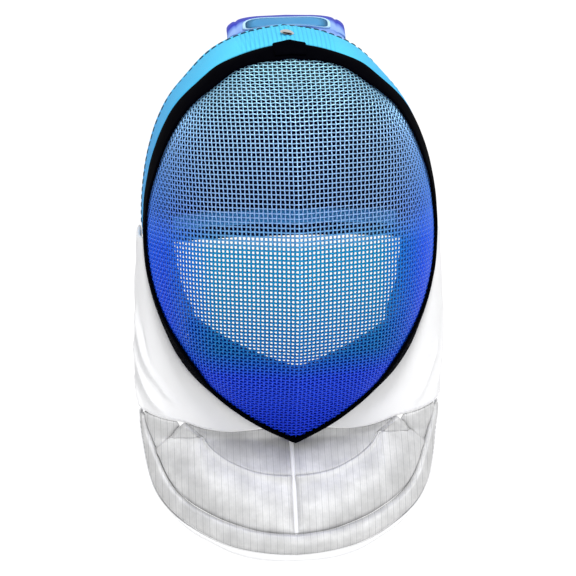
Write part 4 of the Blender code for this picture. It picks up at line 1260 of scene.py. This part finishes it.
def cloth_panel(name, places, side, material, puff=0.0010, edge=0.0035, roll=0.0, whole=False):
    """Padded panel on the bib: swells between its seams and carries the folds of the cloth."""
    turn, down = places
    if whole:
        turn = np.concatenate([-turn[:, :0:-1], turn], axis=1)
        down = np.concatenate([down[:, :0:-1], down], axis=1)
    turn = turn * side
    outer = bib_point(turn, down)
    normal = bib_normal(turn, down)
    across, fall = lengths(outer, 1), lengths(outer, 0)
    u = across / np.maximum(across[:, -1:], 1e-9)
    v = fall / np.maximum(fall[-1:], 1e-9)
    swell = puff * np.sqrt(np.maximum(np.sin(np.pi * u) * np.sin(np.pi * v), 0.0))
    fold = folds(turn, down)
    lift = swell + fold + CLOTH_WAVE * wander(outer, 0.012, 0.7) + roll * bell(fall, 0.005)
    front = outer + normal * (0.0002 + lift)[..., None]
    back = outer - normal * (BIB_WALL - 0.3 * fold)[..., None]
    return pad(name, front, back, material, edge=edge)


def seam_line(seam, first, last, shift, side, count=400):
    """Points and normals along a seam of the bib, shifted down from it by a length."""
    flat = along(seam, np.linspace(first, last, count))
    course = np.gradient(flat * np.array([BIB_QUARTER, BIB_HEIGHT]), axis=0)
    normal = unit(np.stack([-course[:, 1], course[:, 0]], axis=-1)) * shift
    turn = (flat[:, 0] + normal[:, 0] / BIB_QUARTER) * side
    down = flat[:, 1] + normal[:, 1] / BIB_HEIGHT
    out = bib_normal(turn, down)
    return bib_point(turn, down) + out * (0.0006 + folds(turn, down))[:, None], out


def build_bib(white, silver, piping, white_thread, grey_thread):
    """Bib from its seams: panels in pairs, border and hem in one, then stitches and the tape."""
    pinch = UPPER_ARCH[-1, 0]
    gusset_start, gusset_end = GUSSET_SEAM[0, 0], GUSSET_SEAM[-1, 0]
    throat_top = seam_between(YOKE_SEAM, 0.0, pinch)
    corner = seam_between(YOKE_SEAM, pinch, gusset_start)
    front_top = np.concatenate([UPPER_ARCH[:-1], corner[:-1], GUSSET_SEAM])
    front_low = seam_between(LOWER_ARCH, 0.0, gusset_end)
    gusset_top = seam_between(YOKE_SEAM, gusset_start, LOWER_ARCH[-1, 0])
    gusset_low = np.concatenate([GUSSET_SEAM[:-1], LOWER_ARCH[LOWER_ARCH[:, 0] > gusset_end]])
    # Name, seams above and below, rows, shares along them, puff and the roll of the upper edge
    panels = (
        ("bib_side", TOP_EDGE, YOKE_SEAM, 90, eased(130), 0.0012, 0.0),
        ("bib_throat", throat_top, UPPER_ARCH, 40, eased(60, 0.006, 0.99), -0.0022, 0.0),
        ("bib_front", front_top, front_low, 60, eased(110, 0.005, 0.993), 0.0062, 0.0030),
        ("bib_gusset", gusset_top, gusset_low, 30, eased(40, 0.008, 0.992), 0.0006, 0.0),
    )
    for name, upper, lower, rows, share, puff, roll in panels:
        places = panel_places(upper, lower, rows, share)
        material, slot = (white, "bib_white") if name == "bib_side" else (silver, "bib_silver")
        for side, word in ((1, "right"), (-1, "left")):
            piece = cloth_panel(f"{name}_{word}_cloth", places, side, material, puff, roll=roll)
            wear(piece, slot, f"{name}_{word}", fill=0.4)
    share = np.linspace(0, 1, 150)
    places = panel_places(LOWER_ARCH, BINDING_LINE, 30, share, True)
    border = cloth_panel("bib_border_cloth", places, 1, silver, 0.0040, roll=0.0012, whole=True)
    wear(border, "bib_silver", "bib_border", fill=0.4)
    places = panel_places(BINDING_LINE, HEM, 16, share, True)
    hem = cloth_panel("bib_piping", places, 1, piping, 0.0008, edge=0.0022, whole=True)
    wear(hem, "piping_white", "bib_binding", fill=0.6)
    # Name, seam, first and last share of it, distance below it, thread and slot
    rows = (
        ("yoke", YOKE_SEAM, 0.14, 0.98, -0.0025, white_thread, "bib_white"),
        ("upper_arch", UPPER_ARCH, 0.01, 0.92, 0.0025, grey_thread, "bib_silver"),
        ("lower_arch", LOWER_ARCH, 0.01, 0.95, 0.0025, grey_thread, "bib_silver"),
        ("binding", BINDING_LINE, 0.01, 0.97, -0.0020, grey_thread, "bib_silver"),
    )
    for name, seam, first, last, shift, material, slot in rows:
        for side, word in ((1, "right"), (-1, "left")):
            line, normals = seam_line(seam, first, last, shift, side)
            wear(stitches(f"stitches_{name}_{word}", line, normals, material, BIB_STITCH), slot)
    down = np.linspace(0.665, 0.922, 120)
    normals = bib_normal(0 * down, down)
    line = bib_point(0 * down, down) + normals * 0.0002
    rings = tube_rings(line, normals, 0.0016, sides=12, flat=0.8)
    wear(tubes("bib_centre_tape", [rings], piping), "bib_silver")


# Studio

def aim(made, place, target):
    """Put an object at a place and turn its -Z towards a target."""
    made.location = place
    made.rotation_euler = (Vector(target) - Vector(place)).to_track_quat("-Z", "Y").to_euler()


def soft_light(name, place, spread, strength):
    """Even light over the whole studio from one side, as soft as its spread in degrees."""
    light = bpy.data.lights.new(name, "SUN")
    light.angle = np.radians(spread)
    light.energy = strength
    made = bpy.data.objects.new(name, light)
    bpy.context.scene.collection.objects.link(made)
    aim(made, place, AIM)


def build_camera():
    """Camera at an azimuth, elevation and distance from its target, rolled and shifted aside."""
    data = bpy.data.cameras.new("camera")
    data.sensor_width = SENSOR_WIDTH
    data.lens = SENSOR_WIDTH * FOCAL_PIXELS / FRAME_PIXELS
    data.shift_x = -(AXIS_PIXEL_X - FRAME_PIXELS / 2) / FRAME_PIXELS
    made = bpy.data.objects.new("camera", data)
    bpy.context.scene.collection.objects.link(made)
    level = np.cos(CAMERA_ELEVATION)
    ahead = -np.cos(CAMERA_AZIMUTH) * level
    way = np.array([np.sin(CAMERA_AZIMUTH) * level, ahead, np.sin(CAMERA_ELEVATION)])
    aim(made, (np.array(AIM) + CAMERA_DISTANCE * way).tolist(), AIM)
    made.rotation_euler.rotate_axis("Z", -CAMERA_ROLL)
    bpy.context.scene.camera = made


def build_studio():
    """Square floor, an even white sky, a soft key light from above and a wide fill light."""
    side = FLOOR_HALF * np.array([-1.0, 1.0])
    x, y = np.meshgrid(side, side, indexing="ij")
    floor = np.stack([x, y, FLOOR_Z + 0 * x], axis=-1)
    surface("studio_floor", floor, pale_floor())
    world = bpy.data.worlds.new("white_studio")
    bpy.context.scene.world = world
    world.use_nodes = True
    sky = world.node_tree.nodes["Background"].inputs
    sky["Color"].default_value = linear("#FFFFFF")
    sky["Strength"].default_value = 0.58
    soft_light("key", (0.15, -1.1, 1.5), 14.0, 2.0)
    soft_light("fill", (0.5, -1.6, 0.1), 60.0, 0.35)
    bpy.context.scene.view_settings.view_transform = "Standard"


build_camera()

wire = painted_wire()
weft, warp = build_wires(wire)
wear(weft, "wire_blue", "face_mesh")
wear(warp, "wire_blue", "face_mesh")

tape = rubberised_tape()
wear(build_trim(tape), "trim_black", "rim_trim")
wear(build_tab(tape), "trim_black", "trim_tab")

crown = crown_polyester()
wear(build_crown(crown), "crown_cloth", "crown_cover", fill=0.3)
wear(build_crown_edge(crown), "crown_cloth", "crown_binding")
wear(build_crown_stitches(thread("teal_thread", "#00506E", "#003048")), "crown_cloth")
wear(build_rivet(polished_steel()), "rivet_steel", "crown_rivet")

knit = navy_knit()
wear(build_head_lining(knit), "padding_navy", "head_lining", fill=0.6)
wear(build_back_pad(knit), "padding_navy", "back_pad", fill=0.5)
wear(build_back_strap(elastic_webbing()), "elastic_blue", "back_strap")
wear(build_chin_padding(chin_velour()), "padding_chin", "chin_pad", fill=0.6)

wear(build_tongue(coated_tongue()), "tongue_cloth", "tongue", fill=0.7)
plate, plate_frame = build_badge(moulded_plate("badge_inset_plastic", "#4C9ACC", "#3C86BC"),
                                 moulded_plate("badge_frame_plastic", "#C4E6FA", "#B4DCF6"))
wear(plate, "badge_plate", "tongue_badge")
wear(plate_frame, "badge_plate")

build_bib(white_canvas(), silver_cloth(), cloth("white_piping", "#F8F8F9", "#DCDDE0", 0.0008, 0.8, 0.1)[0],
          thread("white_thread", "#F2F2F4", "#D8D8DC"), thread("grey_thread", "#B8BABE", "#9A9CA0"))

build_studio()
